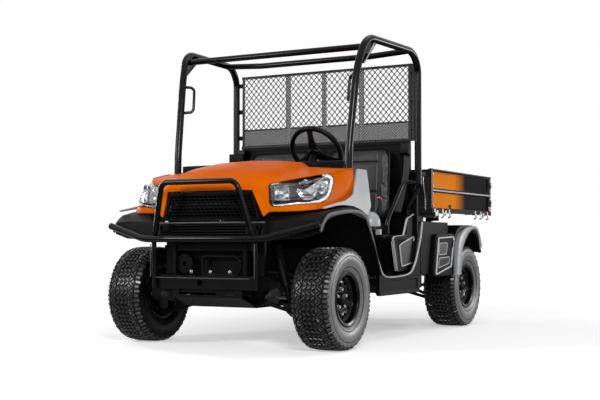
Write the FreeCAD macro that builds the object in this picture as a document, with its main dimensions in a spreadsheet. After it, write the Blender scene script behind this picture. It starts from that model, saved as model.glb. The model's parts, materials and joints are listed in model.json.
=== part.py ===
"""Side by side utility vehicle: two seats, roll frame, dump bed, four driven wheels.

Frame: +X is the driver's (left) side, -Y is forward, +Z is up, millimetres.  Every sub-part is
drawn from the middle of the front axle's ground point, y growing rearwards, and its Placement
then moves it by front_axle_y, which centres the whole vehicle on the origin.
"""
import FreeCAD, Part
import math
import os

from FreeCAD import Placement, Rotation, Vector

DIMENSIONS = (
    # alias, millimetres, meaning
    ("front_axle_y", -1146.0, "front axle from the origin, along Y"),
    ("wheel_base", 2150.0, "front axle to rear axle"),
    ("front_track_half", 676.0, "centre plane to front wheel"),
    ("rear_track_half", 635.0, "centre plane to rear wheel"),
    ("tyre_radius", 311.0, "tread to wheel centre"),
    ("front_tyre_width", 254.0, "section width of a front tyre"),
    ("rear_tyre_width", 264.0, "section width of a rear tyre"),
    ("bead_radius", 152.0, "rim seat under the tyre"),
    ("flange_radius", 166.0, "rim flange"),
    ("rim_wall", 8.0, "rim barrel and flange thickness"),
    ("rail_inner", 200.0, "centre plane to the inner face of a frame rail"),
    ("rail_width", 50.0, "frame rail across"),
    ("rail_height", 80.0, "frame rail upright"),
    ("rail_bottom", 330.0, "ground to the underside of the low part of a rail"),
    ("rail_kick", 410.0, "rise of the rail over the rear axle"),
    ("roll_tube", 50.0, "outside diameter of the roll frame tube"),
    ("roll_top", 1976.0, "ground to the middle of the top tubes"),
    ("kingpin_x", 566.0, "centre plane to kingpin"),
    ("steering_arm", 90.0, "kingpin to tie rod ball, rearwards"),
    ("cab_floor", 422.0, "ground to the top of the cab floor"),
    ("bed_front", 1445.0, "front axle to the headboard's front face"),
    ("bed_rear", 2750.0, "front axle to the tailgate's rear face"),
    ("bed_half_width", 745.0, "centre plane to a bed side's outer face"),
    ("bed_floor_top", 897.0, "ground to the load floor"),
    ("bed_top", 1175.0, "ground to the top edge of the bed"),
    ("bed_wall", 28.0, "thickness of the bed's sides"),
    ("bed_pivot_y", 2700.0, "front axle to the dump pivot"),
    ("bed_pivot_z", 842.0, "ground to the dump pivot"),
    ("seat_top", 800.0, "ground to the seat cushions"),
    ("wheel_tilt", 36.0, "steering wheel plane from level, degrees"),
)

doc = FreeCAD.newDocument("side_by_side_utv")
sheet = doc.addObject("Spreadsheet::Sheet", "dims")
for row, (alias, value, meaning) in enumerate(DIMENSIONS, start=1):
    sheet.set("A%d" % row, meaning)
    sheet.set("B%d" % row, str(value))
    sheet.setAlias("B%d" % row, alias)
doc.recompute()

# hinge axes run along X through these points, millimetres from the front axle
GATE_HINGE_X, GATE_HINGE_Y, GATE_HINGE_Z = 560, 2741, 880
HOOD_HINGE_X, HOOD_HINGE_Y, HOOD_HINGE_Z = 200, 256, 1158
# a tyre's bead seat as a share of its half width
RIM_SEAT = 0.80
REAR_BALL_X = 536
HOOD_WALL, GRILLE_RECESS, FLARE_WALL, SCREEN_SHEET = 7, 12, 12, 2.5
# silver panel beside the hood: wall, its top's distance from the centre plane, lean in degrees
PANEL_WALL, PANEL_TOP_X, PANEL_LEAN = 12, 692, 10
# headlight: turn of its face from straight ahead, then its outline as (along, height) with the
# direction in which each corner moves when the outline grows
LAMP_YAW = math.radians(39.5)
LAMP_OUTLINE = ((-212, 985, -1, 0.3), (-192, 1006, -0.5, 1), (165, 1071, 0, 1), (203, 1056, 1, 0.6),
                (206, 1025, 1, 0), (172, 935, 1, -0.3), (112, 888, 0.5, -1), (-186, 862, -0.2, -1),
                (-206, 882, -1, -0.5))
NODES = []


def dim(alias):
    """Value of a driving dimension in the sheet."""
    return float(sheet.get(alias))


def finish_node(thing, name):
    """Give a sub-part its name and list it for placing and export."""
    thing.Label = name
    NODES.append(thing)
    return thing


def drawn_shape(thing):
    """The recomputed shape of a document object, still in the axle's frame."""
    doc.recompute()
    return thing.Shape


def origin_feature(body, role):
    """The plane or axis of a body's own origin that has this role."""
    return [f for f in body.Origin.OriginFeatures if f.Role == role][0]


def outline_sketch(body, role, points, name="outline", offset=0.0):
    """A closed sketch on an origin plane.  A point with a third value starts an arc that passes
    through that (u, v) point on its way to the next one."""
    sketch = body.newObject("Sketcher::SketchObject", name)
    sketch.AttachmentSupport = (origin_feature(body, role), [""])
    sketch.MapMode = "FlatFace"
    sketch.AttachmentOffset = Placement(Vector(0, 0, offset), Rotation())
    count = len(points)
    for index, point in enumerate(points):
        start = Vector(point[0], point[1], 0)
        after = points[(index + 1) % count]
        end = Vector(after[0], after[1], 0)
        if len(point) == 3:
            middle = Vector(point[2][0], point[2][1], 0)
            sketch.addGeometry(Part.Arc(start, middle, end), False)
        else:
            sketch.addGeometry(Part.LineSegment(start, end), False)
    return sketch


def padded_body(name, role, points, length, offset=0.0, symmetric=False):
    """A PartDesign body: one closed outline on an origin plane, padded by length.  length may be
    an expression in the sheet's aliases."""
    body = doc.addObject("PartDesign::Body", name)
    sketch = outline_sketch(body, role, points, offset=offset)
    pad = body.newObject("PartDesign::Pad", "pad")
    pad.Profile = sketch
    if symmetric:
        pad.Midplane = True
    if isinstance(length, str):
        pad.setExpression("Length", length)
    else:
        pad.Length = length
    return body


def pocket(body, role, points, depth, offset=0.0):
    """Cut a closed outline out of a body, to the given depth."""
    sketch = outline_sketch(body, role, points, name="cutout", offset=offset)
    cut = body.newObject("PartDesign::Pocket", "pocket")
    cut.Profile = sketch
    cut.Length = depth
    return cut


def box(name, low, high):
    """A Part box between two corners."""
    thing = doc.addObject("Part::Box", name)
    thing.Length, thing.Width, thing.Height = [b - a for a, b in zip(low, high)]
    thing.Placement = Placement(Vector(*low), Rotation())
    return thing


def feature(name, shape):
    """A document object that holds a shape worked out by Part's own functions."""
    thing = doc.addObject("Part::Feature", name)
    thing.Shape = shape
    return thing


def mirrored_pair(thing, name):
    """The piece and its mirror image across the centre plane, as one node of two solids."""
    other = doc.addObject("Part::Mirroring", name + "_other")
    other.Source = thing
    other.Normal = Vector(1, 0, 0)
    pair = doc.addObject("Part::Compound", name)
    pair.Links = [thing, other]
    return pair


def compound(name, things):
    """Several separate solids of one body kept in one node."""
    group = doc.addObject("Part::Compound", name)
    group.Links = things
    return group


def largest(shape):
    """The largest solid of a shape: what stays when a trimmed tube leaves slivers."""
    return max(shape.Solids, key=lambda solid: solid.Volume)


def rod(start, end, radius):
    """A round bar between two points."""
    start, end = Vector(*start), Vector(*end)
    return Part.makeCylinder(radius, (end - start).Length, start, end - start)


def bent_tube(points, radii, diameter):
    """A round tube along straight runs joined by tangent arcs: radii has one bend radius for each
    inner point."""
    route = [Vector(*p) for p in points]
    edges, here = [], route[0]
    for corner, after, radius in zip(route[1:-1], route[2:], radii):
        into = (corner - here).normalize()
        out = (after - corner).normalize()
        turn = into.getAngle(out)
        reach = radius * math.tan(turn / 2)
        first, last = corner - into * reach, corner + out * reach
        middle = corner + (out - into).normalize() * radius * (1 / math.cos(turn / 2) - 1)
        edges.append(Part.LineSegment(here, first).toShape())
        edges.append(Part.Arc(first, middle, last).toShape())
        here = last
    edges.append(Part.LineSegment(here, route[-1]).toShape())
    path = Part.Wire(edges)
    ring = Part.Wire([Part.Circle(route[0], route[1] - route[0], diameter / 2).toShape()])
    return path.makePipeShell([ring], True, False)


def revolved_x(profile, centre):
    """A solid of revolution about the X direction through centre: profile holds (x, radius)."""
    cx, cy, cz = centre
    corners = [Vector(cx + x, cy, cz + r) for x, r in profile]
    face = Part.Face(Part.makePolygon(corners + corners[:1]))
    return face.revolve(Vector(cx, cy, cz), Vector(1, 0, 0), 360)


# ---------------------------------------------------------------- wheels

def tyre(name, side, track, axle_y, width):
    """Ring of rubber: flat crown, round shoulders, bulged sidewalls drawn in to the rim seat."""
    half, crown, bead = width / 2, dim("tyre_radius"), dim("bead_radius")
    # right half of the section from the bead to the crown: (share of the half width, radius)
    section = ((RIM_SEAT, bead), (RIM_SEAT, bead + 14), (0.95, bead + 46), (1.0, bead + 82),
               (0.99, bead + 112), (0.94, crown - 24), (0.84, crown - 7), (0.55, crown))
    outer = [(half * share, radius) for share, radius in section]
    profile = outer + [(-x, radius) for x, radius in reversed(outer)]
    body = doc.addObject("PartDesign::Body", name)
    sketch = outline_sketch(body, "XY_Plane", profile)
    turn = body.newObject("PartDesign::Revolution", "ring")
    turn.Profile = sketch
    turn.ReferenceAxis = (sketch, ["H_Axis"])
    body.Placement = Placement(Vector(side * track, axle_y, crown), Rotation())
    return finish_node(body, name)


def rim(name, side, track, axle_y, width):
    """Steel wheel: barrel with a drop centre, two flanges, deep disc and the hub inside it."""
    seat, wall = width / 2 * RIM_SEAT, dim("rim_wall")
    bead, flange = dim("bead_radius"), dim("flange_radius")
    inner, face = bead - wall, seat - 32
    profile = [(-seat - wall, inner), (-seat - wall, flange), (-seat, flange), (-seat, bead),
               (-seat + 34, bead), (-seat + 44, bead - 16), (seat - 50, bead - 16),
               (seat - 38, bead), (seat, bead), (seat, flange), (seat + wall, flange),
               (seat + wall, inner), (seat - 34, inner), (seat - 46, inner - 16),
               (face - 24, inner - 16), (face, 108), (face, 62), (face + 16, 52), (face + 16, 0),
               (-40, 0), (-40, 42), (face - 18, 42), (face - 8, 62), (face - 8, 104),
               (face - 32, inner - 16), (-seat + 40, inner - 16), (-seat + 30, inner)]
    body = doc.addObject("PartDesign::Body", name)
    sketch = outline_sketch(body, "XY_Plane", profile)
    turn = body.newObject("PartDesign::Revolution", "wheel")
    turn.Profile = sketch
    turn.ReferenceAxis = (sketch, ["H_Axis"])
    facing = Rotation() if side > 0 else Rotation(Vector(0, 0, 1), 180)
    body.Placement = Placement(Vector(side * track, axle_y, dim("tyre_radius")), facing)
    return finish_node(body, name)


def wheels():
    """Four wheels, each a tyre on its rim."""
    table = (
        # corner, side, track, axle, tyre width
        ("front_left", 1, "front_track_half", 0.0, "front_tyre_width"),
        ("front_right", -1, "front_track_half", 0.0, "front_tyre_width"),
        ("rear_left", 1, "rear_track_half", dim("wheel_base"), "rear_tyre_width"),
        ("rear_right", -1, "rear_track_half", dim("wheel_base"), "rear_tyre_width"),
    )
    for corner, side, track, axle_y, width in table:
        tyre("tyre_" + corner, side, dim(track), axle_y, dim(width))
        rim("rim_" + corner, side, dim(track), axle_y, dim(width))


# ---------------------------------------------------------------- chassis

def frame():
    """Two kicked-up rails and the crossmembers between and beside them."""
    low, height, kick = dim("rail_bottom"), dim("rail_height"), dim("rail_kick")
    profile = [(-347, low), (1480, low), (1790, low + kick), (2680, low + kick),
               (2680, low + kick + height), (1750, low + kick + height),
               (1440, low + height), (-347, low + height)]
    rail = padded_body("rail", "YZ_Plane", profile, "dims.rail_width", offset=dim("rail_inner"))
    finish_node(mirrored_pair(rail, "frame_rails"), "frame_rails")

    inner, outer = dim("rail_inner"), dim("rail_inner") + dim("rail_width")
    table = (
        # y from, y to, z from, z to
        (-340, -300, 345, 400),
        (60, 120, 350, 418),
        (700, 750, 345, 400),
        (1330, 1380, 345, 400),
        (1880, 1930, 755, 805),
        (2630, 2675, 755, 805),
    )
    members = [box("crossmember", (-inner, y0, z0), (inner, y1, z1)) for y0, y1, z0, z1 in table]
    outriggers = [box("outrigger", (start, y0, 345), (start + 690 - outer, y1, 395))
                  for y0, y1 in ((470, 520), (1180, 1240)) for start in (outer, -690)]
    finish_node(compound("crossmembers", members + outriggers), "crossmembers")


def subframes():
    """Plates and towers that carry the suspension arms, front and rear."""
    inner = dim("rail_inner")
    outer = inner + dim("rail_width")
    low, top = dim("rail_bottom"), dim("rail_bottom") + dim("rail_height")
    feet = [box("arm_foot", (inner, y, 262), (outer, y + 90, low)) for y in (-160, 70)]
    tower = padded_body("tower", "YZ_Plane",
                        [(-115, top), (-115, 500), (-90, 700), (-20, 700), (115, 500), (115, 462),
                         (62, 462), (62, top)],
                        outer - inner, offset=inner)

    axle = dim("wheel_base")
    high = low + dim("rail_kick")
    plate = padded_body("rear_plate", "YZ_Plane",
                        [(axle - 190, 255), (axle + 190, 255), (axle + 190, high),
                         (axle - 190, high)], 12, offset=inner)
    pocket(plate, "YZ_Plane", [(axle - 50, 311, (axle, 361)), (axle + 50, 311, (axle, 261))],
           60, offset=inner + 30)
    finish_node(mirrored_pair(compound("mounts_side", feet + [tower, plate]), "suspension_mounts"),
                "suspension_mounts")


# ball joint between a wishbone and its upright: housing radius, its reach towards the other arm
# and away from it, and the stud's radius
BALL_HOUSING, BALL_TOWARDS, BALL_AWAY, BALL_STUD = 20, 20, 10, 9


def wishbone(inner_x, outer_x, axle_y, half_base, inner_z, outer_z, radius):
    """One wishbone: two tubes from their bushes to a round ball joint housing."""
    below = BALL_AWAY if outer_z < dim("tyre_radius") else BALL_TOWARDS
    shape = Part.makeCylinder(BALL_HOUSING, BALL_AWAY + BALL_TOWARDS,
                              Vector(outer_x, axle_y, outer_z - below))
    for sign in (-1, 1):
        bush_y = axle_y + sign * half_base
        shape = shape.fuse(rod((inner_x, bush_y, inner_z), (outer_x, axle_y, outer_z), radius))
    for sign in (-1, 1):
        bush_y = axle_y + sign * half_base
        shape = shape.fuse(rod((inner_x, bush_y - 26, inner_z), (inner_x, bush_y + 26, inner_z), 16))
    return shape


def suspension():
    """Wishbones, spring and damper units and drive shafts of both axles."""
    rail_face = dim("rail_inner") + dim("rail_width")
    axle = dim("wheel_base")
    table = (
        # node, inner x, outer x, axle y, half base, inner z, outer z, leg radius
        ("front_lower", rail_face + 16, 566, 0.0, 120, 285, 184, 12),
        ("front_upper", rail_face + 16, 566, 0.0, 88, 470, 436, 10),
        ("rear_lower", dim("rail_inner") + 28, REAR_BALL_X, axle, 150, 285, 184, 12),
        ("rear_upper", dim("rail_inner") + 28, REAR_BALL_X, axle, 150, 470, 430, 11),
    )
    arms = {}
    for label, inner_x, outer_x, y, base, z0, z1, radius in table:
        arms[label] = feature(label, wishbone(inner_x, outer_x, y, base, z0, z1, radius))
    side = compound("wishbones_side", list(arms.values()))
    finish_node(mirrored_pair(side, "wishbones"), "wishbones")

    struts = (
        # node, foot x, foot y, foot z, head x, head y, head z
        ("front_shocks", 425, -52, 262, 300, -52, 672),
        ("rear_shocks", 425, axle + 60, 262, 300, axle + 60, 690),
    )
    units = []
    for name, x0, y0, z0, x1, y1, z1 in struts:
        foot, head = Vector(x0, y0, z0), Vector(x1, y1, z1)
        along = (head - foot).normalize()
        length = (head - foot).Length
        unit = Part.makeCylinder(9, length, foot, along)
        unit = unit.fuse(Part.makeCylinder(18, length * 0.30, foot + along * 12, along))
        unit = unit.fuse(Part.makeCylinder(30, length * 0.58, foot + along * length * 0.30, along))
        for share in (0.29, 0.87):
            unit = unit.fuse(Part.makeCylinder(34, 7, foot + along * length * share, along))
        end = name.split("_")[0]
        for arm in ("_lower", "_upper"):
            unit = unit.cut(arms[end + arm].Shape)
        units.append(feature(name, largest(unit)))
    finish_node(mirrored_pair(compound("dampers_side", units), "dampers"), "dampers")

    shafts = (
        # node, axle y, inner x, outer shaft end, joint's outer end, its radius there
        ("front_half_shafts", 0.0, 91, 470, 508, 30),
        ("rear_half_shafts", axle, 121, 458, 514, 40),
    )
    halves = []
    for name, y, x0, x1, x2, radius in shafts:
        z = dim("tyre_radius")
        shaft = revolved_x([(x0, 0), (x0, 34), (x0 + 30, 33), (x0 + 40, 26), (x0 + 48, 27),
                            (x0 + 58, 18), (x0 + 64, 12), (x1, 12), (x1 + 12, 24), (x2, radius),
                            (x2, 0)], (0, y, z))
        halves.append(feature(name, shaft))
    pairs = mirrored_pair(compound("shafts_side", halves), "half_shafts")
    length = rod((0, 53, 318), (0, axle - 181, 318), 20)
    finish_node(compound("drive_shafts", [pairs, feature("propeller_shaft", length)]),
                "drive_shafts")


def knuckles():
    """Front steering knuckles and rear hub carriers between their ball joints."""
    pin, reach = dim("kingpin_x"), dim("steering_arm")
    centre = dim("tyre_radius")
    boot = revolved_x([(528, 0), (528, 30), (556, 46), (556, 0)], (0, 0, centre))
    housing = Part.makeCylinder(48, 626 - 553, Vector(553, 0, centre), Vector(1, 0, 0))
    low, high = 184 + BALL_TOWARDS, 436 - BALL_TOWARDS
    upright = Part.makeBox(28, 56, high - low - 20, Vector(pin - 14, -28, low + 11))
    stud = Part.makeCylinder(BALL_STUD, high - low - 0.6, Vector(pin, 0, low + 0.3))
    arm = Part.makeBox(24, reach + 12, 14, Vector(pin - 14, 0, centre + 6))
    shape = housing.fuse([boot, upright, stud, arm]).removeSplitter()
    left = finish_node(feature("knuckle_left", shape), "knuckle_left")
    other = doc.addObject("Part::Feature", "knuckle_right")
    other.Shape = left.Shape.mirror(Vector(0, 0, 0), Vector(1, 0, 0))
    finish_node(other, "knuckle_right")

    carrier_axle = dim("wheel_base")
    hub_face = dim("rear_track_half") - 40
    carrier = Part.makeCylinder(48, hub_face - 6 - 518, Vector(518, carrier_axle, centre),
                                Vector(1, 0, 0))
    post = Part.makeBox(26, 56, 410 - 204, Vector(REAR_BALL_X - 13, carrier_axle - 28, 204))
    finish_node(mirrored_pair(feature("carrier", carrier.fuse(post).removeSplitter()),
                              "rear_hub_carriers"), "rear_hub_carriers")


def steering():
    """Rack housing on its crossmember, and the sliding rack with both tie rods."""
    reach, height, centre = dim("steering_arm"), 438.0, dim("tyre_radius")
    tube = Part.makeCylinder(20, 380, Vector(-190, reach, height), Vector(1, 0, 0))
    tube = tube.cut(Part.makeCylinder(11.5, 400, Vector(-200, reach, height), Vector(1, 0, 0)))
    finish_node(feature("rack_housing", tube), "rack_housing")
    bar = Part.makeCylinder(10, 2 * 272, Vector(-272, reach, height), Vector(1, 0, 0))
    shape = bar
    end_z = centre + 6 + 14 + 16
    for side in (-1, 1):
        inner, outer = (side * 262, reach, height), (side * 544, reach, end_z)
        ball = Part.makeCylinder(11.5, 26, Vector(side * 262 - 13, reach, height), Vector(1, 0, 0))
        eye = Part.makeCylinder(14, 22, Vector(outer[0], reach, end_z - 11))
        shape = shape.fuse(rod(inner, outer, 8)).fuse(ball).fuse(eye)
    finish_node(feature("steering_rack", shape), "steering_rack")


def driveline():
    """Front gearcase, engine block and rear transaxle, as plain masses at their real places."""
    axle = dim("wheel_base")
    cases = [box("front_case", (-90, -105, 263), (90, 52, 375)),
             box("rear_case", (-120, axle - 180, 245), (120, axle + 110, 500))]
    finish_node(compound("gearcases", cases), "gearcases")
    finish_node(box("engine", (-190, 1390, 420), (190, 1860, 735)), "engine_block")
    silencer = Part.makeCylinder(75, 420, Vector(-210, 2480, 620), Vector(1, 0, 0))
    tail = rod((150, 2480, 560), (150, 2620, 470), 22).cut(silencer)
    finish_node(feature("silencer", silencer.fuse(tail).removeSplitter()), "silencer")


def hitch():
    """Rear plate below the rails with the square receiver tube and its pin bore."""
    plate = Part.makeBox(500, 10, 400, Vector(-250, 2681, 400))
    plate = plate.cut(Part.makeBox(64, 10, 64, Vector(-32, 2681, 410)))
    tube = Part.makeBox(64, 200, 64, Vector(-32, 2520, 410))
    tube = tube.cut(Part.makeBox(51, 210, 51, Vector(-25.5, 2515, 416.5)))
    tube = tube.cut(Part.makeCylinder(8, 100, Vector(-50, 2700, 442), Vector(1, 0, 0)))
    finish_node(feature("hitch", plate.fuse(tube).removeSplitter()), "hitch_receiver")


# ---------------------------------------------------------------- front

def bull_bar():
    """Bumper tube swept back at both ends, the hoop over it, and the posts to the lower plate."""
    half = [(250, -420, 672), (430, -402, 672), (760, -311, 755)]
    route = [(-x, y, z) for x, y, z in reversed(half)] + half
    bumper = bent_tube(route, [300, 300, 300, 300], 42)
    hoop = bent_tube([(-359, -395, 676), (-340, -400, 740), (-269, -441, 1017), (269, -441, 1017),
                      (340, -400, 740), (359, -395, 676)], [120, 60, 60, 120], 34)
    finish_node(feature("bumper", bumper), "bumper_tube")
    finish_node(feature("hoop", hoop.cut(bumper)), "bumper_hoop")
    post = bent_tube([(361, -392, 672), (366, -375, 560), (368, -372, 366)], [200], 30)
    post = post.cut(bumper).cut(hoop)
    plate = Part.makeBox(778, 10, 84, Vector(-389, -357, 366))
    plate = plate.cut(Part.makeBox(36, 12, 36, Vector(-60, -358, 385)))
    other = largest(post).mirror(Vector(0, 0, 0), Vector(1, 0, 0))
    plate = plate.fuse([largest(post), other]).removeSplitter()
    finish_node(feature("plate", plate), "front_plate")
    skid = padded_body("skid", "YZ_Plane",
                       [(-347, 330), (-347, 318), (-172, 250), (160, 250), (160, 262), (-170, 262)],
                       500, symmetric=True)
    finish_node(skid, "skid_plate")


def front_body():
    """Bumper cover with its slatted lower grille, lofted wheel arch flares, side panels, dash."""
    cover = padded_body("cover", "YZ_Plane",
                        [(-322, 672), (-330, 690), (-330, 764), (-318, 778), (-240, 778),
                         (-240, 450), (-262, 450), (-262, 672)], 716, symmetric=True)
    pitch, slats = 17, 4
    for row in range(slats):
        z = 690 + pitch * row
        pocket(cover, "XZ_Plane", [(-262, z), (262, z), (268, z + 10), (-268, z + 10)], 40,
               offset=330)
    finish_node(cover, "front_cover")
    front_flares()
    panel = padded_body("panel", "YZ_Plane",
                        [(-238, 842), (-242, 852), (-58, 884), (60, 900), (164, 934), (192, 948),
                         (300, 1112), (440, 1112), (438, 1050), (425, 940), (418, 875),
                         (350, 812), (318, 824), (252, 850), (160, 868), (40, 872), (-60, 866)],
                        PANEL_WALL)
    panel.Placement = Placement(Vector(PANEL_TOP_X, 0, 0), Rotation()).multiply(
        Placement(Vector(0, 0, 0), Rotation(Vector(0, 1, 0), -PANEL_LEAN), Vector(0, 0, 1112)))
    finish_node(mirrored_pair(panel, "side_panels"), "side_panels")
    dash = padded_body("dash", "YZ_Plane",
                       [(258, 1000), (258, 1120), (290, 1128), (290, 1168), (380, 1178),
                        (412, 1128), (500, 1085), (520, 1040), (505, 880), (392, 880),
                        (392, 960)], 1240, symmetric=True)
    parts = [drawn_shape(dash)]
    binnacle = Part.makeBox(300, 110, 50, Vector(140, 394, 1070))
    binnacle = binnacle.makeFillet(16, [edge for edge in binnacle.Edges if edge.BoundBox.ZMin > 1119])
    parts.append(binnacle)
    for side in (-1, 1):
        x = side * HOOD_HINGE_X
        stem = Part.makeBox(16, 9, HOOD_HINGE_Z + 5 - 1070, Vector(x - 8, HOOD_HINGE_Y + 6, 1070))
        neck = Part.makeBox(16, 10, 10, Vector(x - 8, HOOD_HINGE_Y, HOOD_HINGE_Z - 5))
        parts.extend([stem, neck])
        parts.append(rod((x - 8, HOOD_HINGE_Y, HOOD_HINGE_Z), (x + 8, HOOD_HINGE_Y, HOOD_HINGE_Z), 7))
        parts.append(rod((x - 32, HOOD_HINGE_Y, HOOD_HINGE_Z), (x + 32, HOOD_HINGE_Y, HOOD_HINGE_Z), 5))
    finish_node(feature("dash_with_hinge", parts[0].fuse(parts[1:]).removeSplitter()), "dashboard")
    radiator = box("radiator", (-260, -235, 430), (260, -150, 780))
    finish_node(radiator, "radiator")


def front_flares():
    """Wheel arch flares: a band lofted outwards from under the hood's edge to the arch lip."""
    # at each x, the band's upper side as (y, z) from the front foot over the arch to the sill
    stations = (
        (358, ((-322, 672), (-312, 776), (-250, 812), (-60, 840), (120, 858), (330, 840),
               (470, 640), (560, 440))),
        (640, ((-305, 686), (-298, 784), (-225, 826), (-60, 846), (120, 866), (330, 838),
               (470, 640), (560, 440))),
        (742, ((-286, 716), (-280, 780), (-215, 826), (-108, 848), (109, 868), (330, 814),
               (466, 622), (560, 440))),
        (758, ((-262, 726), (-256, 768), (-200, 800), (-108, 822), (109, 842), (326, 796),
               (462, 614), (556, 438))),
    )
    wires = []
    for x, upper in stations:
        lower = [(y + FLARE_WALL * (0.9 if z < 700 or y < -290 else 0.2), z - FLARE_WALL)
                 if y < 200 else (y - FLARE_WALL, z - FLARE_WALL * 0.3) for y, z in upper]
        ring = [Vector(x, y, z) for y, z in list(upper) + lower[::-1]]
        wires.append(Part.makePolygon(ring + ring[:1]))
    flare = feature("flare", Part.makeLoft(wires, True, True))
    finish_node(mirrored_pair(flare, "front_flares"), "front_flares")


def hood_form(inset):
    """The hood as a solid block, its walls moved in by inset: the plan outline, loft upwards with
    raked sides, cut to the height of the top, which has a raised middle between two creases."""
    # level: height, then the half outline from the middle of the front to the rear corner
    levels = (
        (780, ((0, -334), (365, -290), (402, -287), (596, -228), (664, -178), (684, -100),
               (694, 110), (700, 250))),
        (955, ((0, -336), (330, -312), (400, -296), (566, -224), (648, -148), (682, -66),
               (694, 80), (704, 250))),
        (1085, ((0, -322), (300, -306), (352, -284), (520, -170), (596, -94), (648, 0),
                (674, 120), (700, 250))),
        (1200, ((0, -300), (290, -290), (330, -262), (480, -130), (556, -50), (616, 26),
                (650, 125), (690, 250))),
    )
    # station: y, height of the middle, then (x, z) of the raised middle's shoulder, the crease's
    # two edges, the outer shoulder and the side
    stations = (
        (-346, 1010, ((180, 1006), (296, 988), (360, 952), (440, 925), (740, 872))),
        (-150, 1112, ((190, 1104), (318, 1078), (396, 1054), (545, 1046), (740, 1005))),
        (50, 1163, ((200, 1154), (336, 1124), (385, 1104), (668, 1080), (740, 1068))),
        (200, 1183, ((205, 1174), (344, 1149), (380, 1132), (690, 1106), (740, 1092))),
        (250, 1186, ((207, 1177), (347, 1152), (382, 1136), (700, 1112), (740, 1098))),
    )
    plan = []
    for z, half in levels:
        left = [(max(x - inset, 0) if x else 0, y + inset) for x, y in half]
        left[-1] = (left[-1][0], half[-1][1] - inset)
        ring = [Vector(x, y, z) for x, y in left] + [Vector(-x, y, z) for x, y in left[:0:-1]]
        plan.append(Part.makePolygon(ring + ring[:1]))
    top = []
    for y, middle, half in stations:
        left = [(0, middle - inset)] + [(x, z - inset) for x, z in half] + [(740, 600)]
        ring = [Vector(x, y, z) for x, z in left] + [Vector(-x, y, z) for x, z in left[:0:-1]]
        top.append(Part.makePolygon(ring + ring[:1]))
    return Part.makeLoft(plan, True, True).common(Part.makeLoft(top, True, True))


def lamp_prism(margin, depth_from, depth_to):
    """Prism through the left front corner in the outline of the headlight grown by margin."""
    facing = Vector(math.sin(LAMP_YAW), -math.cos(LAMP_YAW), 0)
    along = Vector(math.cos(LAMP_YAW), math.sin(LAMP_YAW), 0)
    middle = Vector(560, -150, 0)
    corners = [middle + facing * depth_from + along * (u + margin * du) + Vector(0, 0, z + margin * dz)
               for u, z, du, dz in LAMP_OUTLINE]
    outline = Part.Face(Part.makePolygon(corners + corners[:1]))
    return outline.extrude(facing * (depth_to - depth_from))


def mouth_prism(margin, bottom):
    """Prism through the front of the hood in the outline of the grille, grown by margin."""
    top = 966 + margin
    half = [(309 + margin, top), (309 + margin + (966 - bottom) * 0.29, bottom)]
    ring = [Vector(x, -420, z) for x, z in half] + [Vector(-x, -420, z) for x, z in half[::-1]]
    return Part.Face(Part.makePolygon(ring + ring[:1])).extrude(Vector(0, 220, 0))


def hood():
    """Hinged hood: a hollow shell open below, with mouths for its grille and two headlights."""
    block = hood_form(0)
    hollow = hood_form(HOOD_WALL)
    # the same hollow moved rearwards opens the back
    open_back = hollow.translated(Vector(0, 3 * HOOD_WALL, 0))
    below = Part.makeBox(1500, 900, 300, Vector(-750, -400, 500))
    # lower edge: drops to a point beside the grille, rises along the arch to the rear corner
    edge = [(-400, 780), (-291, 803), (-287, 832), (-228, 838), (-178, 846), (75, 880),
            (205, 925), (300, 953), (300, 600), (-400, 600)]
    trim = Part.Face(Part.makePolygon([Vector(-750, y, z) for y, z in edge + edge[:1]]))
    trim = trim.extrude(Vector(1500, 0, 0))
    shell = block.cut([hollow, open_back, below, trim, mouth_prism(0, 770)])
    lamp_hole = lamp_prism(0, -120, 200)
    other_hole = lamp_hole.mirror(Vector(0, 0, 0), Vector(1, 0, 0))
    shell = largest(shell.cut([lamp_hole, other_hole]))
    for side in (-1, 1):
        for x in (side * HOOD_HINGE_X - 30, side * HOOD_HINGE_X + 14):
            lug = Part.makeBox(16, 36, 16, Vector(x, HOOD_HINGE_Y - 36, HOOD_HINGE_Z - 8))
            eye = rod((x, HOOD_HINGE_Y, HOOD_HINGE_Z), (x + 16, HOOD_HINGE_Y, HOOD_HINGE_Z), 10)
            hole = rod((x - 1, HOOD_HINGE_Y, HOOD_HINGE_Z), (x + 17, HOOD_HINGE_Y, HOOD_HINGE_Z), 5.4)
            shell = shell.fuse([lug, eye]).cut(hole)
    finish_node(feature("hood_shell", shell), "hood")

    lens = hood_form(2).common(lamp_prism(-1, -110, 200)).cut(hood_form(60))
    finish_node(mirrored_pair(feature("lens", largest(lens)), "headlights"), "headlights")

    plate = hood_form(GRILLE_RECESS).cut(hood_form(GRILLE_RECESS + 16)).common(
        mouth_prism(-4, 783))
    # the lower corners stay clear of the wheel arch flares
    plate = plate.common(Part.makeBox(704, 300, 300, Vector(-352, -420, 700)))
    pitch, slats = 19, 8
    slots = []
    for row in range(slats):
        z = 797 + pitch * row
        reach = 344 - (z - 790) * 0.30
        for left in (-reach, 8):
            slots.append(Part.makeBox(reach - 8, 200, 11, Vector(left, -400, z)))
    grille = largest(plate).cut(slots)
    finish_node(feature("grille_plate", grille), "grille")


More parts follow.
